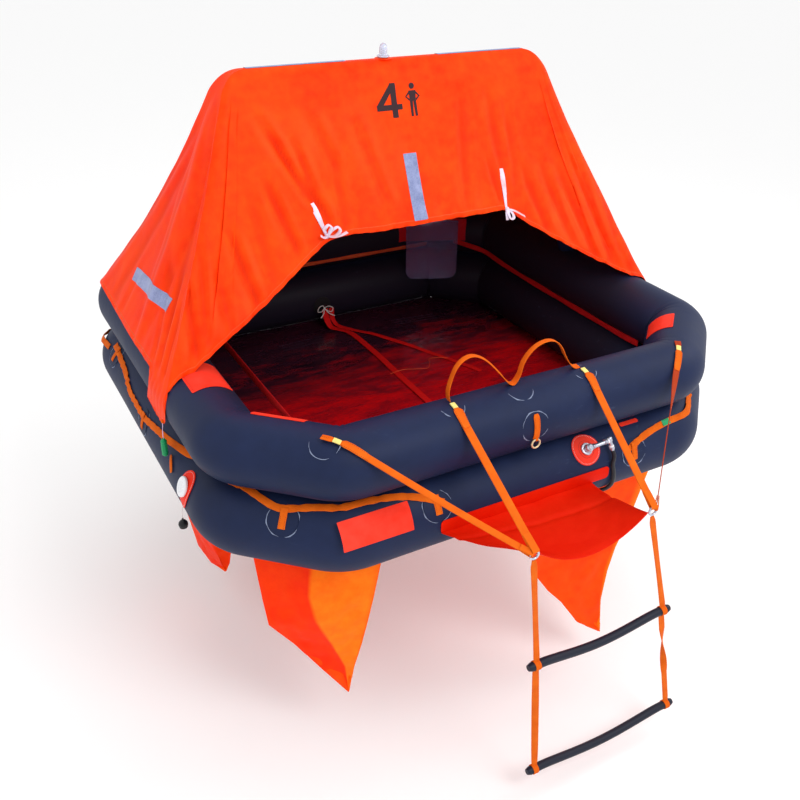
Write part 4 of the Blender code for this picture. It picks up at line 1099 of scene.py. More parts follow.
class RAFT_OT_stage(bpy.types.Operator):
    """Add the camera, the soft studio lights and the pale floor"""

    bl_idname = "raft.stage"
    bl_label = "Stage"

    def execute(self, context):
        scene = context.scene
        camera = bpy.data.objects.new("camera", bpy.data.cameras.new("camera"))
        scene.collection.objects.link(camera)
        camera.data.lens = 40.54
        camera.data.sensor_width = 36.0
        camera.data.clip_end = 200.0
        camera.matrix_world = aim((-1.4509, -2.6038, 1.6841), 0.5171, 0.5265, 0.0244)
        scene.camera = camera
        scene.view_settings.view_transform = "Standard"
        for name, place, size, power, goal in (
                ("key", (0.6, -3.6, 3.2), 2.2, 76.0, (0.0, -0.2, 0.45)),
                ("left", (-3.8, -0.6, 1.9), 2.4, 8.0, (-0.3, 0.0, 0.35)),
                ("right", (3.4, -1.0, 2.2), 1.8, 30.0, (0.3, 0.0, 0.35)),
                ("top", (0.2, 0.6, 4.4), 3.4, 22.0, (0.0, 0.0, 0.4))):
            data = bpy.data.lights.new(name, "AREA")
            data.shape = "DISK"
            data.size = size
            data.energy = power
            lamp = bpy.data.objects.new(name, data)
            scene.collection.objects.link(lamp)
            lamp.matrix_world = standing(place, Vector(place) - Vector(goal))
        world = bpy.data.worlds.new("studio")
        scene.world = world
        world.use_nodes = True
        sky = world.node_tree.nodes["Background"].inputs
        sky["Color"].default_value = (1.0, 1.0, 1.0, 1.0)
        sky["Strength"].default_value = 0.97
        shape = bmesh.new()
        bmesh.ops.create_circle(shape, cap_ends=True, segments=96, radius=60.0,
                                matrix=Matrix.Translation((0, 0, FLOOR_LEVEL)))
        mesh = bpy.data.meshes.new("floor")
        shape.to_mesh(mesh)
        shape.free()
        ground = bpy.data.objects.new("floor", mesh)
        scene.collection.objects.link(ground)
        made, _, shader, _, _ = surface("studio_floor", 0.9)
        shader["Base Color"].default_value = (0.98, 0.98, 0.98, 1.0)
        mesh.materials.append(made)
        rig.stage(ground)
        return {"FINISHED"}


def valve_seat():
    """Where the inflation valve's hub stands on its plate, and the way out there."""
    return tube_spot((0, -1), INFLATION_AT[0], INFLATION_AT[1], "lower", 0.0015 + 2 * GAP + 0.0004)


def hose_route():
    """The hose from the valve's tee, down round the lower tube and along under it to the gas cylinder."""
    base, out = valve_seat()
    arm_start = base + out * 0.017 + Vector((0.0125, 0, 0))
    tee = Vector((TEE_X, arm_start.y - 0.004, arm_start.z + 0.006))
    leg = Vector((0.004, -0.014, -0.030))
    route = [tee + leg, tee + leg * 1.6]
    for x, degrees in ((0.277, 14), (0.283, 0), (0.290, -14), (0.294, -28), (0.292, -42), (0.280, -54),
                       (0.258, -64), (0.228, -72), (0.195, -79), (0.160, -85)):
        route.append(tube_spot((0, -1), x, math.radians(degrees), "lower", HOSE_R + 0.0012)[0])
    height = HULL_BOTTOM - CYLINDER_R - 2 * GAP
    for x, y, above in ((0.125, -0.775, 0.0371), (0.090, -0.755, 0.0276), (0.060, -0.733, 0.0166),
                        (0.038, -0.713, 0.0072), (0.016, -0.7005, 0.0002), (0, CYLINDER_Y, 0)):
        route.append(Vector((x, y, height + above)))
    return arm_start, tee, smooth_route(route, 3)


class RAFT_OT_cords(bpy.types.Operator):
    """Add the inflation hose, the relief valve's cord and the light cell's cord"""

    bl_idname = "raft.cords"
    bl_label = "Cords"

    def execute(self, context):
        route = hose_route()[2]
        hose = pipe("hose", route, HOSE_R, "hose", ("inflation_hose",), sides=20)
        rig.cord(hose, route[0], path_length(route), 2 * HOSE_R, "object", "stiff", "hanging", path=route)
        for name, route, finish, stands_for in (("cap_cord", CAP_CORD, "thread", "relief_valve_cord"),
                                                ("cell_cord", CELL_CORD, "cord", "light_cell_cord")):
            route = smooth_route([route[0]] + [Vector(route[0]) + Vector(drop) for drop in route[1:]], 4)
            line = pipe(name, route, CORD_R, finish, (stands_for,), sides=10)
            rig.cord(line, route[0], path_length(route), 2 * CORD_R, "object", "limp", "hanging", path=route)
        return {"FINISHED"}


class RAFT_OT_tubes(bpy.types.Operator):
    """Add the two buoyancy tubes, with creases inside their bends, and the canopy arch"""

    bl_idname = "raft.tubes"
    bl_label = "Tubes"

    def execute(self, context):
        loop, bends = plan_loop()
        for name, (radius, height) in TUBES.items():
            points = [(p.x, p.y, height) for p in loop]
            shape = sweep(circle(radius, 56), stations(points, [(0, 0, 1)] * len(points), True), closed=True)
            crease(shape, loop, bends, radius, height)
            total = path_length(points, True)
            show(name + "_tube_skin", shape, "tube", (name + "_tube",), turn=(total, 2 * math.pi * radius))
        route = smooth_route(arch_route(), 5)
        pipe("arch_skin", route, ARCH_R, "tube", ("arch_tube",), sides=28, facing=(0, 1, 0))
        return {"FINISHED"}


def crease(shape, loop, bends, radius, height):
    """Fold the inner side of each bend, where the tube's cloth is gathered, and swell the outside; also store how far
    each point faces into the raft, for the painted shade of the inside.
    """
    inside = shape.verts.layers.float.new("inside")
    for vert in shape.verts:
        flat = Vector((vert.co.x, vert.co.y))
        nearest = min(range(len(loop)), key=lambda i: (loop[i] - flat).length_squared)
        away = flat - loop[nearest]
        inner = -away.dot(loop[nearest].normalized()) / radius
        out = (vert.co - Vector((loop[nearest].x, loop[nearest].y, height))).normalized()
        turn = bends[nearest]
        if abs(turn) <= 0.5 and inner > -0.2:
            amount = min(inner + 0.2, 1.0) ** 1.5
            fold = 0.5 + 0.5 * math.cos(2 * math.pi * 3.0 * turn)
            vert.co -= out * amount * 0.0055 * fold * math.cos(math.pi * turn)
        soft = noise.noise(vert.co * 5.0)
        vert.co -= out * (0.0006 + 0.0006 * soft)
        # How far the point faces into the raft, towards the back: the painted shade of the raft's inside follows this
        # layer.
        vert[inside] = clamp((inner + 0.1) / 0.55) * clamp((flat.y + 0.6) / 0.3)


def arch_route():
    """The arch's centre line: a level top with two legs, its bends rounded."""
    lean = (HALF_X + UPPER_R * math.cos(HEM_ANGLE) - RIDGE_HALF) / (RIDGE_Z - UPPER_Z)
    top_z = RIDGE_Z - ARCH_R - CLOTH - 0.004
    shoulder = RIDGE_HALF - 0.031
    foot_z = UPPER_Z + UPPER_R * 0.9
    foot = Vector((shoulder + lean * (top_z - foot_z), ARCH_Y, foot_z))
    corner = Vector((shoulder, ARCH_Y, top_z))
    start = corner - Vector((0.07, 0, 0))
    end = corner + (foot - corner).normalized() * 0.07
    right = [bend(start, corner, end, step / 4) for step in range(5)] + [foot]
    return [Vector((-p.x, p.y, p.z)) for p in reversed(right)] + right


def hem_point(degrees, up=HEM_ANGLE, lift=0.0):
    """A point of the canopy's hem, so far up the outer shoulder of the upper tube."""
    return round_spot(degrees, up, "upper", GAP + CLOTH + lift)[0]


def azimuth(x, y):
    return math.degrees(math.atan2(y, x))


def canopy_controls():
    """The right half's ridge and hem ends from front middle to back middle, with the columns after each."""
    front_y = ARCH_Y - RIDGE_WIDTH / 2
    back_y = ARCH_Y + RIDGE_WIDTH / 2
    hem_x = HALF_X + UPPER_R * math.cos(HEM_ANGLE)
    hem_y = HALF_Y + UPPER_R * math.cos(HEM_ANGLE)
    corner_x = HALF_X - CUT_X + REAR_HEM_STEP
    feet = []
    for step in range(5):
        t = step / 4
        up = math.radians(88) * (1 - t) + HEM_ANGLE * t
        feet.append(hem_point(azimuth(hem_x, FOOT_Y * (1 - t) + FOOT_OUTER_Y * t), up, 0.001))
    tie = Vector((TIE_X, TIE_Y, TIE_Z))
    right = [((0, front_y), Vector((0, TIE_Y, TIE_Z - 0.004)), 16),
             ((TIE_X * 0.9, front_y), tie, 14),
             ((RIDGE_HALF - 0.06, front_y), (tie + feet[0]) / 2 - Vector((0, 0, 0.012)), 14)]
    for step, foot in enumerate(feet):
        right.append(((RIDGE_HALF - 0.003 * (4 - step), front_y + 0.002 * step), foot, 3 if step < 4 else 8))
    right += [((RIDGE_HALF, ARCH_Y - 0.012), hem_point(azimuth(hem_x, -0.134)), 10),
              ((RIDGE_HALF, ARCH_Y), hem_point(azimuth(hem_x, 0.12)), 20),
              ((RIDGE_HALF, back_y), hem_point(azimuth(hem_x, HEM_BACK_Y), CORNER_HEM_ANGLE), 16),
              ((RIDGE_HALF - 0.01, back_y), hem_point(azimuth(corner_x, hem_y), BACK_HEM_ANGLE), 26),
              ((0, back_y), hem_point(90, BACK_HEM_ANGLE), 0)]
    return [(Vector((*top, RIDGE_Z)), hem, columns) for top, hem, columns in right]


def canopy_columns():
    """Every column's ridge end, hem end and place in the tail: from 0 to 1 there, and None elsewhere."""
    controls = canopy_controls()
    half = []
    for (a, b, steps), (c, d, _) in zip(controls, controls[1:]):
        for step in range(2 * steps):
            half.append([a.lerp(c, step / steps / 2), b.lerp(d, step / steps / 2)])
    half.append(list(controls[-1][:2]))
    for again in range(8):
        old = [[r.copy(), h.copy()] for r, h in half]
        for i in range(1, len(half) - 1):
            on_foot = half[i][1].x > 0.80 and half[i][1].y < FOOT_OUTER_Y
            if not on_foot:
                half[i][1] = old[i][1] * 0.5 + (old[i - 1][1] + old[i + 1][1]) * 0.25
            half[i][0] = old[i][0] * 0.5 + (old[i - 1][0] + old[i + 1][0]) * 0.25
    start = 2 * sum(steps for ridge, hem, steps in controls[:7])
    tail = {start + i: i / 16 for i in range(17)}
    columns = [(r, h, tail.get(i)) for i, (r, h) in enumerate(half)]
    mirrored = [(Vector((-r.x, r.y, r.z)), Vector((-h.x, h.y, h.z)), t) for r, h, t in columns[1:-1]]
    return columns + mirrored[::-1]


# Main folds of the canopy's front, as (x, z) from end to end, with width and share of the full depth
FRONT_FOLDS = (
    ((-0.470, 1.030), (-0.360, 0.810), 0.011, 1.00), ((-0.375, 0.955), (-0.322, 0.760), 0.010, 0.70),
    ((-0.312, 1.035), (-0.262, 0.900), 0.014, 0.50), ((-0.262, 0.900), (-0.268, 0.728), 0.012, 0.45),
    ((-0.162, 0.998), (-0.104, 0.776), 0.013, 0.45), ((-0.497, 0.876), (-0.440, 0.690), 0.012, 0.70),
    ((-0.640, 0.760), (-0.600, 0.560), 0.012, 0.75), ((-0.748, 0.860), (-0.795, 0.700), 0.015, 0.55),
    ((-0.795, 0.700), (-0.812, 0.470), 0.013, 0.90), ((-0.745, 0.730), (-0.778, 0.500), 0.011, 0.70),
    ((-0.386, 0.955), (-0.346, 0.790), 0.009, 0.60), ((-0.700, 0.640), (-0.700, 0.500), 0.012, 0.40),
    ((-0.560, 0.860), (-0.540, 0.640), 0.016, 0.35), ((0.226, 1.040), (0.188, 0.730), 0.014, 0.45),
    ((0.335, 1.070), (0.352, 0.830), 0.015, 0.45), ((0.395, 0.990), (0.400, 0.790), 0.012, 0.45),
    ((0.430, 0.830), (0.500, 0.620), 0.012, 0.60), ((0.520, 0.800), (0.600, 0.560), 0.012, 0.60),
    ((0.600, 0.760), (0.690, 0.500), 0.012, 0.65), ((0.660, 0.800), (0.760, 0.480), 0.012, 0.55),
    ((0.300, 0.860), (0.322, 0.730), 0.009, 0.60), ((0.020, 0.900), (0.035, 0.730), 0.014, 0.30),
)
# Folds of the sides, as (y, z), and of the back, as (x, z)
SIDE_FOLDS = (
    ((0.060, 1.080), (-0.120, 0.500), 0.016, 0.40), ((0.090, 0.900), (0.100, 0.440), 0.016, 0.35),
    ((0.110, 1.000), (0.380, 0.430), 0.018, 0.45), ((0.100, 1.080), (0.520, 0.480), 0.016, 0.60),
    ((-0.060, 0.640), (-0.180, 0.400), 0.011, 0.60), ((-0.020, 0.560), (-0.120, 0.400), 0.010, 0.50),
    ((-0.160, 0.560), (-0.240, 0.380), 0.010, 0.70), ((0.250, 0.560), (0.270, 0.400), 0.014, 0.35),
)
BACK_FOLDS = (
    ((-0.480, 1.080), (-0.600, 0.480), 0.016, 0.50), ((0.480, 1.080), (0.600, 0.480), 0.016, 0.50),
    ((-0.330, 0.980), (-0.420, 0.430), 0.018, 0.40), ((0.300, 0.960), (0.330, 0.420), 0.018, 0.40),
    ((-0.100, 1.000), (-0.130, 0.430), 0.020, 0.35), ((0.090, 0.820), (0.120, 0.420), 0.018, 0.35),
    ((-0.220, 0.700), (-0.230, 0.420), 0.014, 0.40), ((0.500, 0.760), (0.560, 0.440), 0.014, 0.40),
)


def fold_height(flat, folds):
    """How far a point of a panel is pressed in or raised by its folds, as a share of the full depth."""
    height = 0.0
    for start, end, width, share in folds:
        start = Vector(start)
        run = Vector(end) - start
        t = (flat - start).dot(run) / run.length_squared
        if -0.25 < t < 1.15:
            away = abs((flat - start).dot(Vector((-run.y, run.x))) / run.length) / (width * 1.2)
            if away < 5:
                fade = clamp((t + 0.25) / 0.5) * clamp((1.15 - t) / 0.2)
                height -= share * fade * (math.exp(-away * away) - 0.45 * math.exp(-(away - 2.1) ** 2))
    return height


def tail_edge(levels, z):
    """Where the tail's slanted edge runs, at a height."""
    for (z0, y0), (z1, y1) in zip(levels, levels[1:]):
        if z >= z1:
            return y0 + (y1 - y0) * clamp((z0 - z) / (z0 - z1))
    return levels[-1][1]


MAIN_ROWS = 64
TAIL_ROWS = 9


def canopy_path(ridge, hem, tail, sag):
    """A column of the canopy from the crown to its lower edge."""
    side = 1 if ridge.y > ARCH_Y else -1
    limit = RIDGE_HALF - 0.055
    crown = Vector((min(max(ridge.x, -limit), limit), ARCH_Y + side * CROWN_HALF, CROWN_Z))
    if abs(ridge.x) > RIDGE_HALF - 0.004 and abs(ridge.y - ARCH_Y) < 0.02:
        crown.y = ARCH_Y + (ridge.y - ARCH_Y) * 0.5
    down = (hem - ridge).normalized()
    slope = ridge + down * 0.075
    inward = Vector((-hem.x * 0.5, (ARCH_Y - hem.y), 0)).normalized()
    if abs(hem.x) < 0.7:
        inward = Vector((0, 1 if hem.y < 0 else -1, 0))
    normal = (inward - down * inward.dot(down)).normalized()
    path = []
    for row in range(MAIN_ROWS + 1):
        t = row / MAIN_ROWS
        if t < 0.2:
            path.append(bend(crown, ridge + Vector((0, 0, 0.003)), slope, t / 0.2))
            continue
        k = (t - 0.2) / 0.8
        spot = slope.lerp(hem, k)
        hang = sag * 3.2 * k ** 0.9 * (1 - k) ** 1.1
        if abs(hem.x) > 0.78:
            hang = min(hang, 0.03 * (abs(spot.y - ARCH_Y) / 0.12) ** 1.6)
        path.append(spot + normal * hang)
    for row in range(1, TAIL_ROWS + 1):
        k = row / TAIL_ROWS
        if tail is None:
            path.append(hem + down * 0.0012 * k)
            continue
        z = hem.z + (TAIL_FRONT[-1][0] - hem.z) * k
        front = tail_edge(TAIL_FRONT, z)
        back = tail_edge(TAIL_BACK, z)
        out = min(1.0, (hem.z - z) / (hem.z - UPPER_Z))
        x = abs(hem.x) + (TAIL_X - abs(hem.x)) * math.sin(out * math.pi / 2)
        path.append(Vector((math.copysign(x, hem.x), front + (back - front) * tail, z)))
    return path


def canopy_normal(paths, c, r):
    """The way the canopy faces outwards at a row of a column."""
    path = paths[c]
    down = path[min(r + 1, MAIN_ROWS)] - path[max(min(r - 1, MAIN_ROWS - 1), 0)]
    normal = (paths[(c + 1) % len(paths)][r] - paths[c - 1][r]).cross(down)
    if normal.length < 1e-9:
        normal = Vector((0, 0, 1))
    normal.normalize()
    return -normal if normal.dot(path[r] - Vector((0, ARCH_Y, 0.5))) < 0 else normal


def canopy_push(spot, normal, front, t, walked):
    """How far folds, puckers and the drawn hem move a point along its normal; t runs from crown to hem."""
    hold = clamp((t - 0.13) / 0.2) * (1.0 if t < 0.97 else 0.35)
    ahead = clamp((-normal.y - 0.12) / 0.35) if front else 0.0
    behind = clamp((normal.y - 0.35) / 0.3)
    push = 0.0
    for share, across, folds in ((ahead, spot.x, FRONT_FOLDS), (behind, spot.x, BACK_FOLDS),
                                 ((1 - ahead - behind) * 0.6, spot.y, SIDE_FOLDS)):
        if share > 0:
            push += sizes().fold_depth * hold * share * fold_height(Vector((across, spot.z)), folds)
    push += hold * 0.0045 * noise.noise(Vector((spot.x * 4.0, spot.y * 4.0, spot.z * 2.2)))
    push += hold * 0.0020 * noise.noise(Vector((spot.x * 17.0, spot.y * 17.0, spot.z * 7.0)))
    reach = max(0.0, 1 - abs(t - 0.97) / 0.16) if t <= 1 else 0.0
    return push + reach * 0.0036 * noise.noise(Vector((walked * 26.0, 0.5, t * 2.0)))


def build_canopy_sheet():
    """The canopy as one sheet, folded, sagged and closed over the ridge, with its length round the hem."""
    columns = canopy_columns()
    count = len(columns)
    rows = MAIN_ROWS + TAIL_ROWS
    shape, along, across, fold = grid_skin(count, rows, 0.5, "fold")
    paths = []
    for ridge, hem, tail in columns:
        sag = sizes().canopy_sag
        if hem.y < FOOT_OUTER_Y + 0.01 or abs(hem.x) < 0.78 and hem.y < 0:
            sag *= 0.42
        paths.append(canopy_path(ridge, hem, tail, sag))
    grid = {}
    for vert in shape.verts:
        place = (round((vert.co.x + 0.5) * count) % count, rows - round((vert.co.y + 0.5) * rows))
        grid.setdefault(place, []).append(vert)
    walked = [0.0]
    for a, b in zip(paths, paths[1:]):
        walked.append(walked[-1] + (b[MAIN_ROWS] - a[MAIN_ROWS]).length)
    perimeter = walked[-1] + (paths[0][MAIN_ROWS] - paths[-1][MAIN_ROWS]).length
    for c, path in enumerate(paths):
        front = path[MAIN_ROWS].y < 0
        on_tail = path[MAIN_ROWS + 3].z < path[MAIN_ROWS].z - 0.01
        height = path_length(path)
        for r, spot in enumerate(path):
            if r:
                height -= (spot - path[r - 1]).length
            t = r / MAIN_ROWS
            normal = canopy_normal(paths, c, r)
            push = canopy_push(spot, normal, front, t, walked[c])
            if r > MAIN_ROWS and on_tail:
                push = 0.0016 + 0.0016 * math.sin(spot.y * 190.0 + spot.z * 60.0)
            for vert in grid[(c, r)]:
                vert.co = spot + normal * min(push, 0.004)
                if front and columns[c][2] is None:
                    lower = max(0.0, min(t, 1.0) - 0.9) / 0.1
                    vert.co.z += 0.0042 * lower * noise.noise(Vector((walked[c] * 34.0, 2.5, 0.0)))
                # The fold layer is above one half where the cloth is pressed in and below one half where it stands
                # out; the canopy's finish paints shade and highlight from it.
                vert[fold] = clamp(0.5 - push / 0.018)
                vert[along] = walked[c]
                vert[across] = height
    bmesh.ops.remove_doubles(shape, verts=shape.verts, dist=1e-6)
    crown = [edge for edge in shape.edges if edge.is_boundary
             and all(abs(vert.co.z - CROWN_Z) < 0.004 for vert in edge.verts)]
    bmesh.ops.triangle_fill(shape, edges=crown, use_beauty=True)
    bmesh.ops.recalc_face_normals(shape, faces=shape.faces)
    return shape, perimeter


class RAFT_OT_canopy(bpy.types.Operator):
    """Add the canopy: one sheet over the arch with its two tails"""

    bl_idname = "raft.canopy"
    bl_label = "Canopy"

    def execute(self, context):
        shape, perimeter = build_canopy_sheet()
        nodes = ["canopy_" + panel
                 for panel in ("front", "back", "left", "right", "ridge", "tail_left", "tail_right")]
        flat = (perimeter, area_of(shape) / perimeter * 1.5)
        show_sheet("canopy", shape, "canopy", nodes, (0.0016, -1.0), flat, "stretched",
                   ["arch_skin", "upper_tube_skin"], turn=(perimeter, 0.0))
        return {"FINISHED"}


def skin_tree(name):
    """The faces of a finished skin, for laying trims on it."""
    mesh = bpy.data.objects[name].data
    return BVHTree.FromPolygons([vert.co for vert in mesh.vertices],
                                [face.vertices[:] for face in mesh.polygons])


def cloth_patch(name, outline, tree, middle, level, upward, finish, lift=0.0006, thick=0.0005, step=0.012):
    """A thin trim laid on the canopy; outline holds (level, upward) metres about middle."""
    middle, level, upward = Vector(middle), Vector(level).normalized(), Vector(upward).normalized()
    inward = upward.cross(level).normalized()
    if inward.dot(Vector((0, ARCH_Y, 0.6)) - middle) < 0:
        inward = -inward
    shape = flat_shape(outline, step)
    for vert in shape.verts:
        aim_at = middle + level * vert.co.x + upward * vert.co.y
        spot, normal, _, _ = tree.ray_cast(aim_at - inward * 0.25, inward)
        if spot is None:
            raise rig.FrameError(name + " misses the canopy")
        vert.co = spot + (normal if normal.dot(inward) < 0 else -normal) * lift
    for vert in extruded(shape):
        vert.co += (vert.co - tree.find_nearest(vert.co)[0]).normalized() * thick
    show(name, shape, finish, sharp=50.0)


def thick_line(points, width):
    """The outline of a flat stroke along (x, y) points."""
    left = []
    right = []
    for i, (x, y) in enumerate(points):
        before = points[max(i - 1, 0)]
        after = points[min(i + 1, len(points) - 1)]
        along = Vector((after[0] - before[0], after[1] - before[1])).normalized()
        across = Vector((-along.y, along.x)) * width / 2
        left.append((x + across.x, y + across.y))
        right.append((x - across.x, y - across.y))
    return left + right[::-1]


FRONT_UP = (0.0, 0.388, 0.922)
BACK_UP = (0.0, -0.606, 0.795)
# Loops and loose ends of the ribbons' bows, as (right, up, out) from the knot
BOWS = {
    "left": {
        "loop_a": ((0, 0, 0), (0.014, 0.014, 0.010), (0.034, 0.022, 0.014), (0.040, 0.008, 0.012),
                   (0.020, -0.004, 0.008), (0, 0, 0.004)),
        "loop_b": ((0, 0, 0), (-0.010, 0.018, 0.010), (0.002, 0.032, 0.016), (0.012, 0.024, 0.014),
                   (0.006, 0.010, 0.010), (0, 0, 0.004)),
        "end_a": ((0, 0, 0.002), (0.020, -0.006, 0.010), (0.042, -0.004, 0.014), (0.064, 0.002, 0.012)),
        "end_b": ((0, 0, 0.002), (-0.014, -0.004, 0.008), (-0.026, 0.004, 0.010)),
    },
    "right": {
        "loop_a": ((0, 0, 0), (0.010, -0.012, 0.010), (0.014, -0.030, 0.012), (0.002, -0.034, 0.012),
                   (-0.004, -0.014, 0.010), (0, 0, 0.004)),
        "end_a": ((0, 0, 0.002), (0.022, -0.008, 0.008), (0.044, -0.022, 0.010), (0.062, -0.034, 0.010)),
        "end_b": ((0, 0, 0.002), (-0.008, -0.014, 0.008), (-0.010, -0.036, 0.008)),
    },
}


class RAFT_OT_canopy_trim(bpy.types.Operator):
    """Add the reflective tapes, the capacity mark, the ribbon ties and the lamp to the canopy"""

    bl_idname = "raft.canopy_trim"
    bl_label = "Canopy Trim"

    def execute(self, context):
        tree = skin_tree("canopy")
        wide = sizes().tape_width / 2
        level = (1, 0, 0)
        cloth_patch("tape_front", box_outline(wide, 0.108, 0.002), tree, (0.002, -0.115, 0.812), level,
                    FRONT_UP, "tape")
        for name, x, half in (("left", -0.327, 0.164), ("right", 0.337, 0.166)):
            cloth_patch("tape_ridge_" + name, box_outline(half, 0.014, 0.002), tree,
                        (x, ARCH_Y + 0.006, 1.19), level, (0, 1, 0), "tape", 0.0012, step=0.004)
        for name, side in (("left", -1), ("right", 1)):
            cloth_patch("tape_side_" + name, box_outline(0.181, wide * 0.96, 0.002), tree,
                        (side * 0.822, 0.105, 0.522), (0, 1, -0.085), (-side * 0.40, -0.078, 0.913), "tape")
            cloth_patch("tape_back_" + name, box_outline(wide, 0.150, 0.002), tree,
                        (side * 0.360, 0.600, 0.700), level, BACK_UP, "tape")
        self.mark(tree)
        for side, top, end in (("left", (-0.365, -0.123, 0.811), (-0.338, -0.170, 0.716)),
                               ("right", (0.346, -0.114, 0.833), (0.334, -0.170, 0.706))):
            self.tie(tree, side, Vector(top), Vector(end))
        base = Vector((-0.028, ARCH_Y, RIDGE_Z + 0.008 + CLOTH + 2 * GAP))
        profile = [(0.0, 0.0), (0.020, 0.0), (0.0205, 0.002), (0.0200, 0.0046), (0.0135, 0.0062),
                   (0.0126, 0.010), (0.0130, 0.018), (0.0124, 0.026), (0.0110, 0.033), (0.0084, 0.038),
                   (0.0045, 0.0405), (0.0, 0.041)]
        lathe("lamp_dome", profile, base, (0, 0, 1), "lamp", ("canopy_light",))
        lathe("lamp_bulb", [(0.0, 0.0), (0.005, 0.0), (0.006, 0.006), (0.004, 0.016), (0.0, 0.019)],
              base + Vector((0, 0, 0.007)), (0, 0, 1), "white", steps=24)
        lathe("lamp_foot", [(0.0, 0.0), (0.026, 0.0), (0.028, 0.0006), (0.026, 0.0014), (0.0, 0.0016)],
              base - Vector((0, 0, 0.0052)), (0, 0, 1), "canopy")
        return {"FINISHED"}

    def mark(self, tree):
        """The capacity mark: a figure four and a plain standing figure."""
        four = {
            "four_post": [(0.010, 0.053), (0.030, 0.053), (0.030, -0.053), (0.010, -0.053)],
            "four_bar": [(-0.044, -0.012), (-0.044, -0.029), (0.0485, -0.029), (0.0485, -0.012)],
            "four_slant": [(0.012, 0.053), (0.012, 0.026), (-0.020, -0.014), (-0.044, -0.014)],
        }
        figure = {
            "figure_body": [(-0.013, 0.026), (0.013, 0.026), (0.010, -0.006), (-0.010, -0.006)],
            "figure_leg_left": [(-0.011, -0.004), (-0.001, -0.004), (-0.003, -0.053), (-0.011, -0.053)],
            "figure_leg_right": [(0.001, -0.004), (0.011, -0.004), (0.012, -0.053), (0.004, -0.053)],
            "figure_arm_left": thick_line([(-0.010, 0.022), (-0.024, 0.008), (-0.011, -0.003)], 0.0055),
            "figure_arm_right": thick_line([(0.010, 0.022), (0.024, 0.008), (0.011, -0.003)], 0.0055),
            "figure_head": [(x, y + 0.040) for x, y in circle(0.0095, 20)],
        }
        for x, parts in ((-0.046, four), (0.043, figure)):
            for name, outline in parts.items():
                cloth_patch("mark_" + name, outline, tree, (x, -0.020, 1.070), (1, 0, 0), FRONT_UP, "print",
                            0.0008, 0.0003)

    def tie(self, tree, side, top, end):
        """A ribbon tie that holds the rolled opening, with its knot and bow."""
        inward = Vector((0.0, 0.922, -0.388))
        points = []
        for step in range(9):
            aim_at = top.lerp(end, step / 8)
            spot = tree.ray_cast(aim_at - inward * 0.2, inward)[0] or aim_at
            points.append(spot - inward * 0.0016)
        strap("tie_" + side, points, [-inward] * len(points), "ribbon", width=0.019, thick=0.0012,
              widths=[0.8, 1.0, 1.0, 0.95, 0.85, 0.75, 0.6, 0.5, 0.4])
        heart = points[-1] - inward * 0.004
        knot("tie_knot_" + side, heart, 0.0075, (1.0, 0.8, 1.15), "ribbon", 0.25, 260.0)
        right = Vector((1, 0, 0))
        up = Vector(FRONT_UP)
        for name, route in BOWS[side].items():
            points = [heart + right * a + up * b - inward * c for a, b, c in smooth_route(route, 4)]
            turned = [(up * 0.75 - inward * 0.65).normalized()] * len(points)
            strap("tie_" + side + "_" + name, points, turned, "ribbon", width=0.0115, thick=0.0010)

# Each ballast pocket: its four corners' ways down, its lowest point, and how much painted light each side takes, as a
# share of the paler, lit orange
POCKETS = {
    "front_left": ([((-0.80, -0.60), (-0.784, -0.62, -0.224), (-0.777, -0.64, -0.312),
                     (-0.704, -0.66, -0.409), (-0.627, -0.69, -0.529)),
                    ((-0.66, -0.735), (-0.675, -0.735, -0.164), (-0.652, -0.735, -0.275),
                     (-0.605, -0.73, -0.393), (-0.558, -0.725, -0.516)),
                    ((-0.46, -0.785), (-0.488, -0.78, -0.199), (-0.503, -0.77, -0.303),
                     (-0.519, -0.755, -0.415), (-0.535, -0.735, -0.523)),
                    ((-0.47, -0.60), (-0.49, -0.62, -0.21), (-0.50, -0.64, -0.31),
                     (-0.52, -0.67, -0.42), (-0.535, -0.70, -0.53))], (-0.546, -0.72, -0.65),
                   (0.0, 1.0, 0.6, 0.2)),
    "front_right": ([((0.10, -0.735), (0.16, -0.75, -0.406), (0.211, -0.77, -0.484),
                      (0.261, -0.79, -0.541), (0.334, -0.81, -0.653)),
                     ((0.66, -0.735), (0.566, -0.75, -0.31), (0.503, -0.77, -0.40),
                      (0.463, -0.79, -0.475), (0.434, -0.81, -0.588)),
                     ((0.61, -0.50), (0.55, -0.57, -0.23), (0.50, -0.65, -0.40),
                      (0.46, -0.72, -0.52), (0.44, -0.79, -0.65)),
                     ((0.15, -0.50), (0.22, -0.57, -0.33), (0.26, -0.65, -0.45),
                      (0.32, -0.72, -0.54), (0.38, -0.78, -0.66))], (0.436, -0.83, -0.729),
                    (0.2, 1.0, 0.4, 0.2)),
    "rear_left": ([((-0.83, -0.02), (-0.80, -0.01, -0.20), (-0.77, 0.0, -0.40),
                    (-0.74, 0.01, -0.52), (-0.72, 0.02, -0.60)),
                   ((-0.83, 0.34), (-0.80, 0.335, -0.28), (-0.76, 0.32, -0.52),
                    (-0.745, 0.25, -0.66), (-0.735, 0.12, -0.655)),
                   ((-0.62, 0.34), (-0.64, 0.33, -0.28), (-0.66, 0.30, -0.50),
                    (-0.68, 0.23, -0.62), (-0.69, 0.11, -0.635)),
                   ((-0.62, -0.02), (-0.64, -0.01, -0.20), (-0.66, 0.0, -0.40),
                    (-0.68, 0.01, -0.52), (-0.69, 0.02, -0.60))], (-0.705, 0.03, -0.643),
                  (0.0, 0.4, 0.4, 0.1)),
}
POCKETS["rear_right"] = ([tuple((-spot[0], 0.32 - spot[1], *spot[2:]) for spot in track)
                          for track in POCKETS["rear_left"][0]], (0.705, 0.29, -0.643), (0.1, 0.4, 0.4, 0.6))
POCKET_STEPS = 12
POCKET_ROWS = 40


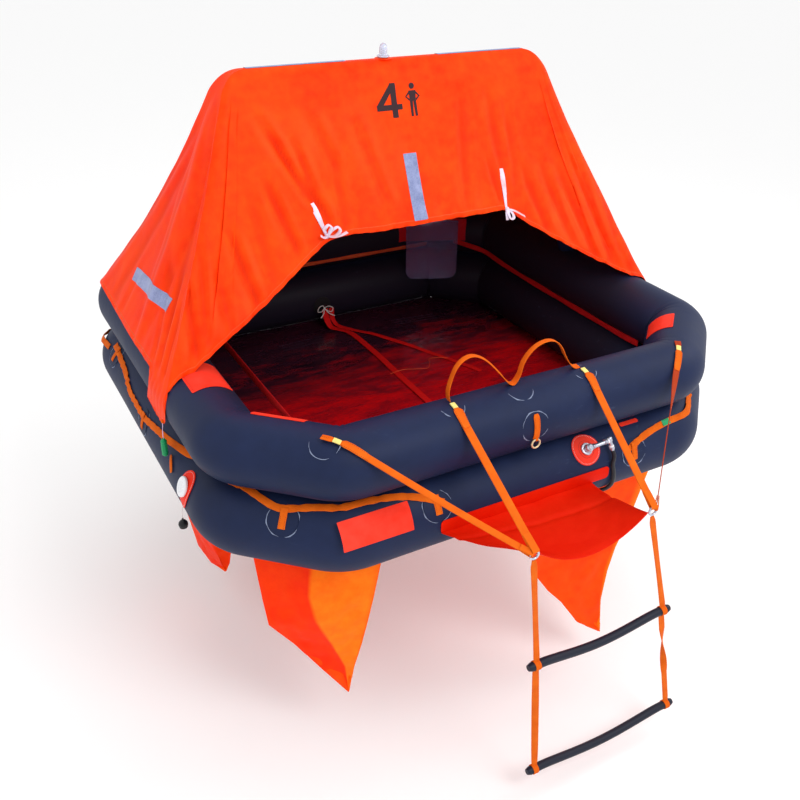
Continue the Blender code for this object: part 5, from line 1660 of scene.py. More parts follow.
def pocket_ring(tracks, tip, t):
    """The corners of a pocket at a share of the way from its mouth to its lowest point."""
    corners = []
    for track in tracks:
        spots = [(*track[0], HULL_BOTTOM - GAP), *track[1:], tip]
        k = min(int(t * 5), 4)
        corners.append(Vector(spots[k]).lerp(spots[k + 1], t * 5 - k))
    return corners


def pocket_shape(tracks, tip, lit):
    """A water bag: rings from its mouth to its weighted corner, hanging out between its seams."""
    around = 4 * POCKET_STEPS
    shape, along, across, glow = grid_skin(around, POCKET_ROWS, 0.5, "glow")
    for vert in shape.verts:
        i = round((vert.co.x + 0.5) * around) % around
        t = 0.5 - vert.co.y
        corners = pocket_ring(tracks, tip, min(t, 0.985))
        side = (i % POCKET_STEPS) / POCKET_STEPS
        a = corners[i // POCKET_STEPS]
        b = corners[(i // POCKET_STEPS + 1) % 4]
        place = a.lerp(b, side)
        normal = Vector((b.y - a.y, a.x - b.x, 0.0)).normalized()
        if normal.dot(place - sum(corners, Vector()) / 4) < 0:
            normal = -normal
        middle = math.sin(math.pi * side)
        hang = middle * math.sin(math.pi * min(t * 1.15, 1.0)) ** 0.8
        ripple = noise.noise(place * 9.0) * 0.012 + noise.noise(place * 26.0) * 0.005
        crumple = abs(noise.noise(Vector((place.x * 16, place.y * 16, place.z * 9)))) * 0.012
        fade = min(t * 8.0, 1.0) * min((1 - t) * 5.0 + 0.1, 1.0)
        vert.co = place + normal * (sizes().pocket_bulge * hang - 0.006 * middle
                                    + fade * (ripple - crumple) * middle ** 0.5)
        vert[along] = i * 0.018
        vert[across] = place.z
        # Painted light: each side takes its share of the paler orange that stands in for light through the cloth.
        vert[glow] = lit[i // POCKET_STEPS]
    bmesh.ops.remove_doubles(shape, verts=shape.verts, dist=1e-6)
    return shape


class RAFT_OT_pockets(bpy.types.Operator):
    """Add the four ballast pockets under the hull, with their seams"""

    bl_idname = "raft.pockets"
    bl_label = "Ballast Pockets"

    def execute(self, context):
        for name, (tracks, tip, lit) in POCKETS.items():
            shape = pocket_shape(tracks, tip, lit)
            around = path_length(pocket_ring(tracks, tip, 0.0), True)
            show_sheet("pocket_" + name, shape, "pocket", ("ballast_pocket_" + name,), (0.0012, -1.0),
                       (around, area_of(shape) / around * 1.4), "hung", ["lower_tube_skin"])
        seam = smooth_route([(-0.8345, 0.10, -0.05), (-0.8330, 0.09, -0.16), (-0.8225, 0.08, -0.27)], 8)
        spots = stitch_spots(seam, [(-1, 0, 0)] * len(seam), spacing=0.0085)
        stitches("pocket_seam", spots, size=(0.0034, 0.0010, 0.0008))
        loop = [(-0.800, 0.235, -0.262), (-0.822, 0.250, -0.300), (-0.812, 0.225, -0.338),
                (-0.790, 0.190, -0.345), (-0.775, 0.165, -0.322)]
        pipe("pocket_loop", smooth_route(loop, 6), 0.0022, "thread", sides=10)
        return {"FINISHED"}

def ring_place(side):
    """The middle of a boarding ring."""
    return Vector((BOARD_X + (-1 if side == "left" else 1) * RING_SPREAD, RING_Y, RING_Z))


def strap_turn(name, spot, toward, facing, width, reach):
    """The end of a strap folded round a ring's wire and stitched back on itself."""
    toward = Vector(toward).normalized()
    side = toward.cross(Vector(facing)).normalized()
    out = side.cross(toward).normalized()
    turn = RING_WIRE + 0.0019
    places = []
    for i in range(5):
        places.append((toward * (reach - reach * i / 4) + out * turn * min(1.0, 0.55 + 0.12 * i), out))
    for step in range(1, 8):
        angle = math.pi * step / 8
        away = out * turn * math.cos(angle) - toward * turn * math.sin(angle)
        places.append((away, away))
    for i in range(5):
        places.append((toward * (reach * i / 4) - out * turn * min(1.0, 1.03 - 0.12 * i), -out))
    strap(name, [spot + away for away, _ in places], [way for _, way in places], width=width, thick=0.0022)


class RAFT_OT_ramp(bpy.types.Operator):
    """Add the boarding ramp, with the band that bonds it to the lower tube"""

    bl_idname = "raft.ramp"
    bl_label = "Boarding Ramp"

    def execute(self, context):
        root_z = 0.075
        root_y = -(HALF_Y + math.sqrt(LOWER_R ** 2 - (root_z - LOWER_Z) ** 2)) - 2 * GAP
        shape, along, across = grid_skin(72, 60, 0.5)
        for vert in shape.verts:
            u = vert.co.x * 2
            t = 0.5 - vert.co.y
            half = 0.272 + (RING_SPREAD - RING_R - RING_WIRE - 2 * GAP - 0.272) * t
            x = -0.070 + (BOARD_X + 0.070) * t + u * half
            y = root_y + (RING_Y - root_y) * t
            z = root_z + (RING_Z - root_z) * t ** 1.5 - 0.075 * t * (1 - u * u)
            pull = math.exp(-((t - 0.30 - 0.10 * u) / 0.035) ** 2) * 0.0045
            fan = math.sin((u + 1.2) * 14.0 / (1.15 - 0.5 * t)) * 0.0016 * (1 - t) * (1 - u ** 4)
            drape = noise.noise(Vector((x * 9.0, y * 9.0, 0.7))) * 0.006 * t * (1 - t) * 4
            rim = -0.0035 * math.exp(-((1 - t) / 0.05) ** 2) * (1 - u ** 6)
            vert[along] = u * half
            vert[across] = t * 0.33
            vert.co = (x, y, z - pull + fan + drape + rim)
        bmesh.ops.reverse_faces(shape, faces=shape.faces)
        show_sheet("ramp_sheet", shape, "ramp", ("boarding_ramp",), (0.0016, 0.0), (0.56, 0.36), "hung",
                   ["lower_tube_skin", "ring_left", "ring_right"], outward=False)
        tube_patch("ramp_band", (0, -1), "lower", (-0.038, math.radians(2.0)),
                   box_outline(0.305, 0.021, 0.012), 0.0016, "ramp", lift=0.0009)
        return {"FINISHED"}


class RAFT_OT_boarding_straps(bpy.types.Operator):
    """Add the boarding and side straps with their stitched folds, tags and turned ends"""

    bl_idname = "raft.boarding_straps"
    bl_label = "Boarding Straps"

    def execute(self, context):
        for side, sign in (("left", -1), ("right", 1)):
            x = BOARD_X + sign * STRAP_SPREAD
            places = [tube_spot((0, -1), x, math.radians(degrees), "upper", GAP + WEB_THICK / 2)
                      for degrees in (86, 83, 80, 77, 74, 71, 68, 65, 62, 59, 56.5)]
            last, leave = places[-1]
            wire_top = ring_place(side) + Vector((0, 0, RING_R))
            end = wire_top + (last - wire_top).normalized() * (RING_WIRE + 0.004)
            places += [(last.lerp(end, step / 12), leave) for step in range(1, 13)]
            name = "board_strap_" + side
            self.bound_strap(name, places, name.replace("board", "boarding"), "webbing", WEB_WIDTH,
                             [0.55, 0.5, 0.5, 0.52, 0.62, 0.85, 1.0], 5, 12, WEB_WIDTH * 1.12)
            self.tag(name, places[2][0], places[1][0] - places[4][0], places[2][1])
            strap_turn("board_turn_" + side, wire_top, last - wire_top, leave, WEB_WIDTH * 0.9, 0.050)
        self.side_straps()
        return {"FINISHED"}

    def bound_strap(self, name, places, node, finish, width, start_widths, low, high, fold_width):
        """A strap, with the stretch from low to high where it is folded back and stitched through."""
        points, facings = zip(*places)
        widths = start_widths + [1.0] * (len(places) - len(start_widths))
        strap(name, points, facings, finish, (node,), width=width, widths=widths)
        self.doubled(name.replace("_web", ""), points[low:high], facings[low:high], fold_width)

    def doubled(self, name, points, facings, width):
        """The stretch where a strap is folded back and stitched through."""
        lifted = [point + facing.normalized() * 0.0022 for point, facing in zip(points, facings)]
        count = len(points)
        strap(name + "_fold", lifted, facings, width=width, thick=0.0022,
              widths=[0.7] + [1.0] * (count - 3) + [0.96, 0.8])
        rails = []
        for edge in (-0.38, 0.38):
            rail = []
            for i, (point, facing) in enumerate(zip(lifted, facings)):
                run = lifted[min(i + 1, count - 1)] - lifted[max(i - 1, 0)]
                across = facing.cross(run).normalized()
                rail.append(point + across * width * edge + facing.normalized() * 0.0012)
            rails.append((rail, facings))
        sew(name + "_stitches", rails, 0.0058, 0.0019)

    def tag(self, name, spot, along, facing):
        """A narrow coloured loop bound round a strap's neck."""
        along = along.normalized()
        out = along.cross(facing.cross(along).normalized())
        points = [spot + along * step + out * 0.0006 for step in (-0.011, 0.0, 0.011)]
        strap(name + "_tag", points, [facing] * 3, "tag", width=0.0155, thick=0.0046)

    def side_straps(self):
        """The two slack straps from patches further out along the tube to the rings."""
        leave = math.radians(57.4)
        for side, sign, anchor_x, slide in (("left", -1, -0.650, 0.06), ("right", 1, 0.596, 0.05)):
            target = Vector((BOARD_X + sign * (RING_SPREAD + RING_R * 0.82), RING_Y, RING_Z + RING_R * 0.57))
            places = []
            for step in range(13):
                t = step / 12
                angle = math.radians(90) + (leave - math.radians(92)) * t
                places.append(tube_spot((0, -1), anchor_x - sign * slide * t, angle, "upper",
                                        GAP + WEB_THICK / 2 + 0.0007))
            last, facing = places[-1]
            end = target - (target - last).normalized() * (RING_WIRE + 0.004)
            turned = Vector((0, -0.5, 0.85))
            if sign > 0:
                turned = (end - last).cross(Vector((1.83, 1.60, -1.40))).normalized()
                turned = turned if turned.dot(facing) > 0 else -turned
            for step in range(1, 33):
                t = step / 32
                places.append((last.lerp(end, t) - Vector((0, 0, 0.004 * math.sin(math.pi * t))),
                               facing.lerp(turned, clamp(t * 4 - 0.5)).normalized()))
            name = "side_strap_" + side
            # The right side strap takes the darker webbing colour.
            self.bound_strap(name + "_web", places, name, "webbing" if sign < 0 else "worn_webbing", 0.020,
                             [1.0, 1.0, 1.0, 1.0, 0.9, 0.55, 0.5, 0.55, 0.85], 8, 16, 0.0225)
            self.tag(name, places[6][0], places[5][0] - places[8][0], places[6][1])
            strap_turn("side_turn_" + side, target, last - target, turned, 0.018, 0.035)
            rail = [point + way * 0.0018 for point, way in places[:4]]
            sew("side_anchor_stitches_" + side, [(rail, [way for _, way in places[:4]])], 0.005)


class RAFT_OT_handholds(bpy.types.Operator):
    """Add the two webbing handholds that stand on the front tube, with their seats"""

    bl_idname = "raft.handholds"
    bl_label = "Handholds"

    def execute(self, context):
        seat = UPPER_Z + UPPER_R + GAP + WEB_THICK / 2 + 0.0002
        points = smooth_route([(x, -HALF_Y + 0.012 * (1 - rise / HANDHOLD_RISE), seat + rise)
                               for x, rise in HANDHOLD_ROUTE], 5)
        facings = []
        for i, point in enumerate(points):
            point.z = max(point.z, seat)
            along = points[min(i + 1, len(points) - 1)] - points[max(i - 1, 0)]
            lean = 0.22 * math.sin(i * 0.11)
            facings.append(Vector((-along.z, lean * along.length, along.x)))
        strap("handhold_webbing", points, facings, "webbing", ("handhold_loops",), **LINE_WEB)
        rails = []
        middle = len(points) // 2
        for low, high in ((0, 3), (middle - 3, middle + 3), (len(points) - 4, len(points))):
            rail = [point + Vector((0, 0.007, 0.0016)) for point in points[low:high]]
            rails.append((rail, [(0, 0, 1)] * len(rail)))
        sew("handhold_stitches", rails, 0.005)
        return {"FINISHED"}


class RAFT_OT_ladder(bpy.types.Operator):
    """Add the rung ladder's webbing and its two bowed rungs"""

    bl_idname = "raft.ladder"
    bl_label = "Ladder"

    def execute(self, context):
        tops = [Vector((BOARD_X + sign * RING_SPREAD, RING_Y, RING_Z - RING_R)) for sign in (-1, 1)]
        for level, (left, right, height), start, gather in (
                ("upper", UPPER_RUNG, RING_WIRE + PIN_PLAY + 0.0015, 0.55),
                ("lower", LOWER_RUNG, RUNG_R + PIN_PLAY, 0.86)):
            body = "ladder_" + level
            ends = [Vector((left + 0.016, RING_Y, height)), Vector((right - 0.016, RING_Y, height))]
            for side, top, end in zip(("left", "right"), tops, ends):
                name = level + "_" + side
                low = end + Vector((0, 0, RUNG_R + GAP))
                high = top - Vector((0, 0, start))
                points = []
                facings = []
                widths = []
                for step in range(41):
                    t = step / 40
                    slack = math.sin(math.pi * t)
                    turn = {"lower_right": math.pi * clamp((t - 0.15) / 0.5),
                            "lower_left": -0.5 * slack}.get(name, 0.25 * slack)
                    points.append(high.lerp(low, t))
                    facings.append(Vector((math.sin(turn), -math.cos(turn), 0)))
                    widths.append(min(1.0, gather + 8 * t, 0.86 + 3 * (1 - t)))
                strap("stile_" + name, points, facings, "webbing", ("ladder_stile_" + name,), body,
                      widths=widths, **LINE_WEB)
                points, outs = arc(end, RUNG_R + 0.0015, range(90, 451, 15))
                strap("lash_" + name, points, outs, body=body, width=0.019, thick=0.0018)
            tops = ends
            points = []
            for i in range(41):
                t = i / 40
                bow = math.sin(math.pi * clamp((t - 0.08) / 0.84)) ** 1.3
                points.append((left + (right - left) * t, RING_Y, height - RUNG_SAG * bow))
            pipe("rung_" + level, points, RUNG_R, "rung", ("ladder_rung_" + level,), body, sides=28,
                 bores=0.012)
        return {"FINISHED"}

def hugging_line(name, anchors, node):
    """A webbing line round the lower tube through (bearing, rise) anchors, drooping on its long runs."""
    points = []
    facings = []
    for (start, rise0), (end, rise1) in zip(anchors, anchors[1:]):
        steps = max(4, round(end - start))
        droop = LINE_SAG if end - start > 20 else 0
        for i in range(steps + (end == anchors[-1][0])):
            t = i / steps
            bearing = start + (end - start) * t
            angle = math.radians(rise0 + (rise1 - rise0) * t - droop * 4 * t * (1 - t))
            roll = 0.35 * math.sin(math.pi * t) * math.sin(2.6 * i)
            spot, way = round_spot(bearing, angle, "lower", 0.0009 + WEB_THICK / 2, roll=roll)
            points.append(spot)
            facings.append(way)
    strap(name, relax(points), facings, "webbing", (node,), **LINE_WEB)


# The outer grab line's three stretches, as (bearing, rise) in degrees
GRAB_ROUTES = {
    "left": ((153, 50), (164, 40), (170, 27), (181, 25), (194, 42), (203, 58), (206, 70), (209, 80),
             (215, 80), (217.6, 75), (221, 62), (224, 52), (230, 65), (236, 70), (241, 64), (244.5, 56),
             (247.5, 46), (250, 36)),
    "right": ((291, 26), (292.5, 31), (296, 41), (301, 49), (310, 53), (318, 53), (332, 45), (359, 38),
              (387, 38)),
    "back": ((28, 38), (69, 38), (111, 38), (152, 38)),
}
# Its anchors: the tube's side, the place along it and the height angle
GRAB_ANCHORS = (
    ("left", (-1, 0), 0.016, 28), ("left_corner", (-CUT_Y, -CUT_X), -0.030, 50),
    ("front_left", (0, -1), -0.345, 44), ("front_right", (0, -1), 0.372, 30), ("right", (1, 0), 0.020, 38),
    ("back_left", (0, 1), 0.300, 38), ("back_right", (0, 1), -0.300, 38), ("left_back", (-1, 0), -0.414, 50),
)


def chalk_ring(name, side, tube, centre, radius, spans=((150, 262), (284, 340), (8, 62))):
    """Faint pale glue marks round a bonded patch: broken arcs of uneven width, angles in degrees."""
    for part, (start, end) in enumerate(spans):
        places = []
        widths = []
        steps = max(6, round((end - start) / 5))
        for step in range(steps + 1):
            angle = math.radians(start + (end - start) * step / steps)
            uneven = noise.noise(Vector((centre[0] * 40 + part, step * 0.35, 0.5)))
            reach = radius * (1.0 + 0.03 * uneven)
            places.append(tube_spot(side, centre[0] + reach * math.cos(angle),
                                    centre[1] + reach * math.sin(angle) / TUBES[tube][0], tube, 0.0003))
            ends = max(0.0, math.sin(math.pi * step / steps)) ** 0.5
            widths.append(max(0.12, (0.75 + 0.9 * uneven) * ends))
        strap(name + "_" + str(part), *zip(*places), "chalk", width=0.0034, thick=0.0003, widths=widths)


class RAFT_OT_grab_lines(bpy.types.Operator):
    """Add the outer grab line with its anchors and their round patches"""

    bl_idname = "raft.grab_lines"
    bl_label = "Grab Lines"

    def execute(self, context):
        for side, anchors in GRAB_ROUTES.items():
            hugging_line("grab_web_" + side, anchors, "grab_line_" + side)
        drop = 0.024 / LOWER_R
        for name, side, along, degrees in GRAB_ANCHORS:
            angle = math.radians(degrees)
            place = (side, "lower", (along, angle - drop * 0.9))
            tube_patch("anchor_disc_" + name, *place, circle(0.044), 0.0010, "disc", lift=0.0002)
            chalk_ring("anchor_ring_" + name, *place, 0.047)
            angles = [angle + 0.08 - (0.08 + drop * 1.9) * step / 8 for step in range(9)]
            points, outs = zip(*[tube_spot(side, along, turn, "lower", 0.0060 if step < 3 else 0.0030)
                                 for step, turn in enumerate(angles)])
            strap("anchor_tab_" + name, points, outs, width=0.021, thick=0.0022)
            down = points[-1] - points[0]
            rails = []
            for offset in (-0.007, 0.007):
                rails.append(([spot + out.cross(down).normalized() * offset + out * 0.0013
                               for spot, out in zip(points[3:], outs[3:])], outs[3:]))
            sew("anchor_stitches_" + name, rails, 0.0052)
        places = [round_spot(300.2 + step, math.radians(48.0 + step * 0.8), "lower", 0.004)
                  for step in (0.0, 0.8, 1.6)]
        strap("grab_tag", *zip(*places), "cell", width=0.020, thick=0.0028)
        return {"FINISHED"}


def ring(name, centre, radius, wire, finish, node, body="raft"):
    """A closed wire ring that hangs facing along Y."""
    outs = [Vector((x, 0, -y)) for x, y in circle(1.0, 48)]
    points = [centre + out * radius for out in outs]
    shape = sweep(circle(wire, 16), stations(points, outs, True), closed=True)
    show(name, shape, finish, (node,), body, turn=(2 * math.pi * radius, 2 * math.pi * wire))


class RAFT_OT_tow_point(bpy.types.Operator):
    """Add the tow tab, its patch and its ring, and the rings of the boarding straps"""

    bl_idname = "raft.tow_point"
    bl_label = "Tow Point"

    def execute(self, context):
        for side in ("left", "right"):
            ring("ring_wire_" + side, ring_place(side), RING_R, RING_WIRE, "steel", "ring_" + side)
        points, facings = zip(*[tube_spot((0, -1), TOW_X, math.radians(30 - 3 * step), "upper",
                                          GAP + WEB_THICK / 2) for step in range(15)])
        strap("tow_webbing", points, facings, "webbing", ("tow_tab",),
              widths=[0.5, 0.72] + [0.82] * 12 + [0.9])
        rails = []
        for offset in (-0.007, 0.007):
            rails.append(([point + facing * 0.0018 + Vector((offset, 0, 0))
                           for point, facing in zip(points[2:9], facings[2:9])], facings[2:9]))
        sew("tow_stitches", rails, 0.0050)
        chalk_ring("tow_patch_ring", (0, -1), "upper", (TOW_X - 0.004, math.radians(9)), 0.046,
                   ((20, 172), (196, 250), (296, 340)))
        centre = Vector((TOW_X, -0.892, 0.27431))
        wire = 0.003
        radius = 0.014
        points, outs = arc(centre + Vector((0, 0, radius)), wire + 0.0016,
                           [-40 + 260 * i / 12 for i in range(13)])
        strap("tow_turn", points, outs, width=0.0085, thick=0.0018)
        ring("tow_ring_wire", centre, radius, wire, "gold", "tow_ring", "tow_ring")
        return {"FINISHED"}


class RAFT_OT_inflation_valve(bpy.types.Operator):
    """Add the inflation valve with its stitched plate, fluted hub, arm, nuts and tee"""

    bl_idname = "raft.inflation_valve"
    bl_label = "Inflation Valve"

    def execute(self, context):
        place = ((0, -1), "lower", INFLATION_AT)
        tube_patch("valve_plate", *place, circle(0.050, 56), 0.0015, "coral", ("inflation_valve_plate",))
        patch_stitches("valve_plate_seam", *place, circle(0.0455, 56), 0.0024, spacing=0.0052)
        patch_stitches("valve_plate_inner_seam", *place, circle(0.027), 0.0024, "dark_thread", 0.0048)
        base, out = valve_seat()
        profile = [(0.0, 0.0), (0.0175, 0.0), (0.019, 0.0008), (0.019, 0.0040), (0.0180, 0.0052),
                   (0.0130, 0.0062), (0.0120, 0.0080), (0.0120, 0.0115), (0.0112, 0.0122), (0.0112, 0.0135),
                   (0.0120, 0.0142), (0.0120, 0.0232), (0.0112, 0.0242), (0.0078, 0.0256), (0.0070, 0.0280),
                   (0.0030, 0.0280), (0.0024, 0.0268), (0.0, 0.0268)]
        lathe("valve_hub", profile, base, out, "steel", ("inflation_valve_hub",), steps=48, sharp=30.0)
        places = [standing(base, out) @ Matrix.Translation((x, y, 0.0026)) for x, y in circle(0.0188, 20)]
        beads("valve_grips", places, (0.0011, 0.0011, 0.0022), "steel")
        arm_start, tee, route = hose_route()
        leg = (route[0] - tee).normalized()
        ahead = Vector((1, 0, 0))
        arm = [arm_start, arm_start + ahead * 0.015, tee - ahead * 0.012, tee - Vector((0.003, 0, 0.001)),
               tee + leg * 0.012, route[0] - leg * 0.0008]
        pipe("valve_arm", smooth_route(arm, 6), 0.0062, "steel", ("inflation_valve_arm",), sides=24)
        for name, spot, way in (("hub", arm_start + ahead * 0.0042, ahead),
                                ("tee", tee - ahead * 0.018, ahead), ("hose", tee + leg * 0.0245, leg)):
            self.nut("valve_nut_" + name, spot, way, 0.0088, 0.0075)
        lathe("valve_band", [(0.0068, 0.0), (0.0080, 0.0006), (0.0080, 0.0054), (0.0068, 0.0060)],
              tee + leg * 0.0150, leg, "white", steps=32)
        lathe("valve_arm_band", [(0.0068, 0.0), (0.0079, 0.0006), (0.0079, 0.0050), (0.0068, 0.0056)],
              tee - ahead * 0.0115, ahead, "white", steps=32)
        lathe("tee_cap", [(0.0, -0.004), (0.0074, -0.004), (0.0080, 0.0), (0.0080, 0.0085), (0.0068, 0.0105),
                          (0.0, 0.0110)], tee - leg * 0.0005, -leg, "steel", steps=32)
        return {"FINISHED"}

    def nut(self, name, spot, way, radius, length):
        """A six-sided nut with rounded corners."""
        shape = bmesh.new()
        bmesh.ops.create_cone(shape, cap_ends=True, segments=6, radius1=radius, radius2=radius, depth=length)
        bmesh.ops.bevel(shape, geom=shape.edges[:], offset=0.0007, segments=2, profile=0.5, affect="EDGES",
                        material=-1)
        bmesh.ops.transform(shape, matrix=standing(spot, way), verts=shape.verts)
        show(name, shape, "steel", sharp=30.0)

class RAFT_OT_relief_valve(bpy.types.Operator):
    """Add the relief valve, its stitched plate and its hanging cap"""

    bl_idname = "raft.relief_valve"
    bl_label = "Relief Valve"

    def execute(self, context):
        place = ((-1, 0), "lower", RELIEF_AT)
        tube_patch("relief_plate", *place, self.drop(1.0), 0.0015, "coral", ("relief_valve_plate",))
        patch_stitches("relief_plate_seam", *place, self.drop(0.90), 0.0024, spacing=0.0050)
        base, out = tube_spot((-1, 0), *RELIEF_AT, "lower", 0.0015 + 3 * GAP + 0.0001)
        profile = [(0.0, 0.0), (0.0295, 0.0), (0.0306, 0.0008), (0.0310, 0.0030), (0.0306, 0.0060),
                   (0.0296, 0.0070), (0.0200, 0.0084), (0.0185, 0.0082), (0.0172, 0.0064), (0.0160, 0.0050),
                   (0.0130, 0.0050), (0.0124, 0.0064), (0.0090, 0.0064), (0.0084, 0.0052), (0.0034, 0.0052),
                   (0.0030, 0.0062), (0.0, 0.0064)]
        lathe("relief_body", profile, base, out, "white", ("relief_valve",), steps=56, sharp=30.0)
        places = [standing(base, out) @ Matrix.Rotation(2 * math.pi * i / 24, 4, "Z")
                  @ Matrix.Translation((0.0245, 0, 0.0077)) for i in range(24)]
        beads("relief_ribs", places, (0.0036, 0.0010, 0.0006), "white")
        top = Vector(CAP_CORD[0])
        profile = [(0.0, 0.0), (0.0026, -0.0006), (0.0032, -0.0060), (0.0048, -0.0078), (0.0096, -0.0110),
                   (0.0132, -0.0162), (0.0145, -0.0216), (0.0143, -0.0236), (0.0134, -0.0250),
                   (0.0136, -0.0266), (0.0124, -0.0322), (0.0080, -0.0352), (0.0, -0.0368)]
        lathe("relief_cap", profile, top + Vector(CAP_CORD[-1]) - Vector((0, 0, GAP)), (0, 0, 1), "cap",
              ("relief_valve_cap",))
        knot("relief_knot", top, 0.0024, (1.0, 1.0, 1.0), "thread", finer=2)
        return {"FINISHED"}

    def drop(self, scale):
        """The outline of the relief valve's plate, longer below than above."""
        outline = []
        for i in range(48):
            t = 2 * math.pi * i / 48
            narrowing = 1 - 0.14 * (1 - math.cos(t))
            reach = 0.056 if math.cos(t) > 0 else 0.065
            outline.append((0.008 + 0.046 * scale * math.sin(t) * narrowing, reach * scale * math.cos(t)))
        return outline


class RAFT_OT_light_cell(bpy.types.Operator):
    """Add the water-activated cell of the light, with the loop, knot and tag that hold it"""

    bl_idname = "raft.light_cell"
    bl_label = "Light Cell"

    def execute(self, context):
        top = Vector(CELL_CORD[0])
        foot = top + Vector(CELL_CORD[-1])
        profile = [(0.0, 0.0), (0.0046, -0.0002), (0.0058, -0.0040), (0.0085, -0.0062), (0.0095, -0.0078),
                   (0.0095, -0.0120), (0.0088, -0.0128), (0.0088, -0.0150), (0.0095, -0.0158),
                   (0.0095, -0.0470), (0.0088, -0.0478), (0.0088, -0.0500), (0.0095, -0.0508),
                   (0.0095, -0.0555), (0.0060, -0.0598), (0.0, -0.0600)]
        lathe("cell_body", profile, foot - Vector((0, 0, GAP)), (0, 0, 1), "cell", ("light_cell",),
              sharp=30.0)
        places = [Matrix.Translation(foot - Vector((0, 0, 0.0315))) @ Matrix.Rotation(math.pi * i / 4, 4, "Z")
                  @ Matrix.Translation((0.0093, 0, 0)) for i in range(8)]
        beads("cell_ribs", places, (0.0009, 0.0015, 0.0135), "cell")
        knot("cell_knot", top, 0.0056, (0.8, 1.0, 1.2), "webbing", 0.3, 330.0)
        places = [tube_spot((-1, 0), along, math.radians(degrees), "lower", 0.0035)
                  for along, degrees in ((0.300, 34), (0.314, 29), (0.330, 23), (0.342, 17))]
        strap("cell_tag", *zip(*places), width=0.016, thick=0.0022, widths=[0.6, 0.9, 1.0, 0.9])
        return {"FINISHED"}


class RAFT_OT_patches(bpy.types.Operator):
    """Add the blank boarding plate and the bonded patches of the tubes"""

    bl_idname = "raft.patches"
    bl_label = "Patches"

    def execute(self, context):
        tube_patch("sign_plate", (0, -1), "lower", (-0.537, math.radians(33)),
                   box_outline(0.108, 0.042, 0.002), 0.0012, "coral", ("boarding_sign",))
        left_corner = (-0.687, -0.727)
        for name, side, tube, along, degrees, half_along, half_round in (
                ("left", (-1, 0), "upper", 0.318, 101, 0.082, 0.064),
                ("right", (0.687, -0.727), "upper", 0.062, 128, 0.056, 0.050),
                ("inner_left", left_corner, "upper", -0.080, 114, 0.078, 0.019),
                ("join", (0, -1), "lower", 0.390, 66, 0.037, 0.007)):
            place = (side, tube, (along, math.radians(degrees)))
            tube_patch("patch_" + name, *place, box_outline(half_along, half_round, 0.005), 0.0014, "coral",
                       lift=0.0004)
            if half_round > 0.03:
                patch_stitches("patch_seam_" + name, *place,
                               box_outline(half_along - 0.007, half_round - 0.007), 0.0022, "dark_thread")
        for name, side, along, degrees, radius, spans in (
                ("side_left", left_corner, 0.080, 62, 0.042, ((180, 300), (330, 372))),
                ("board_left", (0, -1), -0.262, 80, 0.037, ((186, 236), (300, 350))),
                ("board_right", (0, -1), 0.204, 80, 0.037, ((60, 120), (190, 230), (300, 345))),
                ("seat", (0, -1), -0.036, 79, 0.042, ((188, 262), (276, 340)))):
            chalk_ring("ring_of_" + name, side, "upper", (along, math.radians(degrees)), radius, spans)
        return {"FINISHED"}


def inner_spot(bearing, angle):
    """A point just off the inner face of the upper tube, and the way that face looks."""
    return round_spot(bearing, angle, "upper", 2 * GAP + WEB_THICK / 2, inward=True)


def inner_strap(name, anchors, finish, node, hang=0.0):
    """A webbing line inside the upper tube through (bearing, rise) anchors; hang lets it droop."""
    points = []
    facings = []
    for (start, rise0), (end, rise1) in zip(anchors, anchors[1:]):
        steps = max(4, round((end - start) / 1.4))
        for i in range(steps + (end == anchors[-1][0])):
            t = i / steps
            rise = rise0 + (rise1 - rise0) * t + hang * 8
            spot, way = inner_spot(start + (end - start) * t, math.radians(rise))
            points.append(spot - Vector((0, 0, 0.009 * hang)))
            way.z = way.z * (1 - hang) + 0.10 * math.sin(len(points) * 0.45)
            facings.append(way.normalized())
    strap(name, relax(points), facings, finish, (node,), **LINE_WEB)


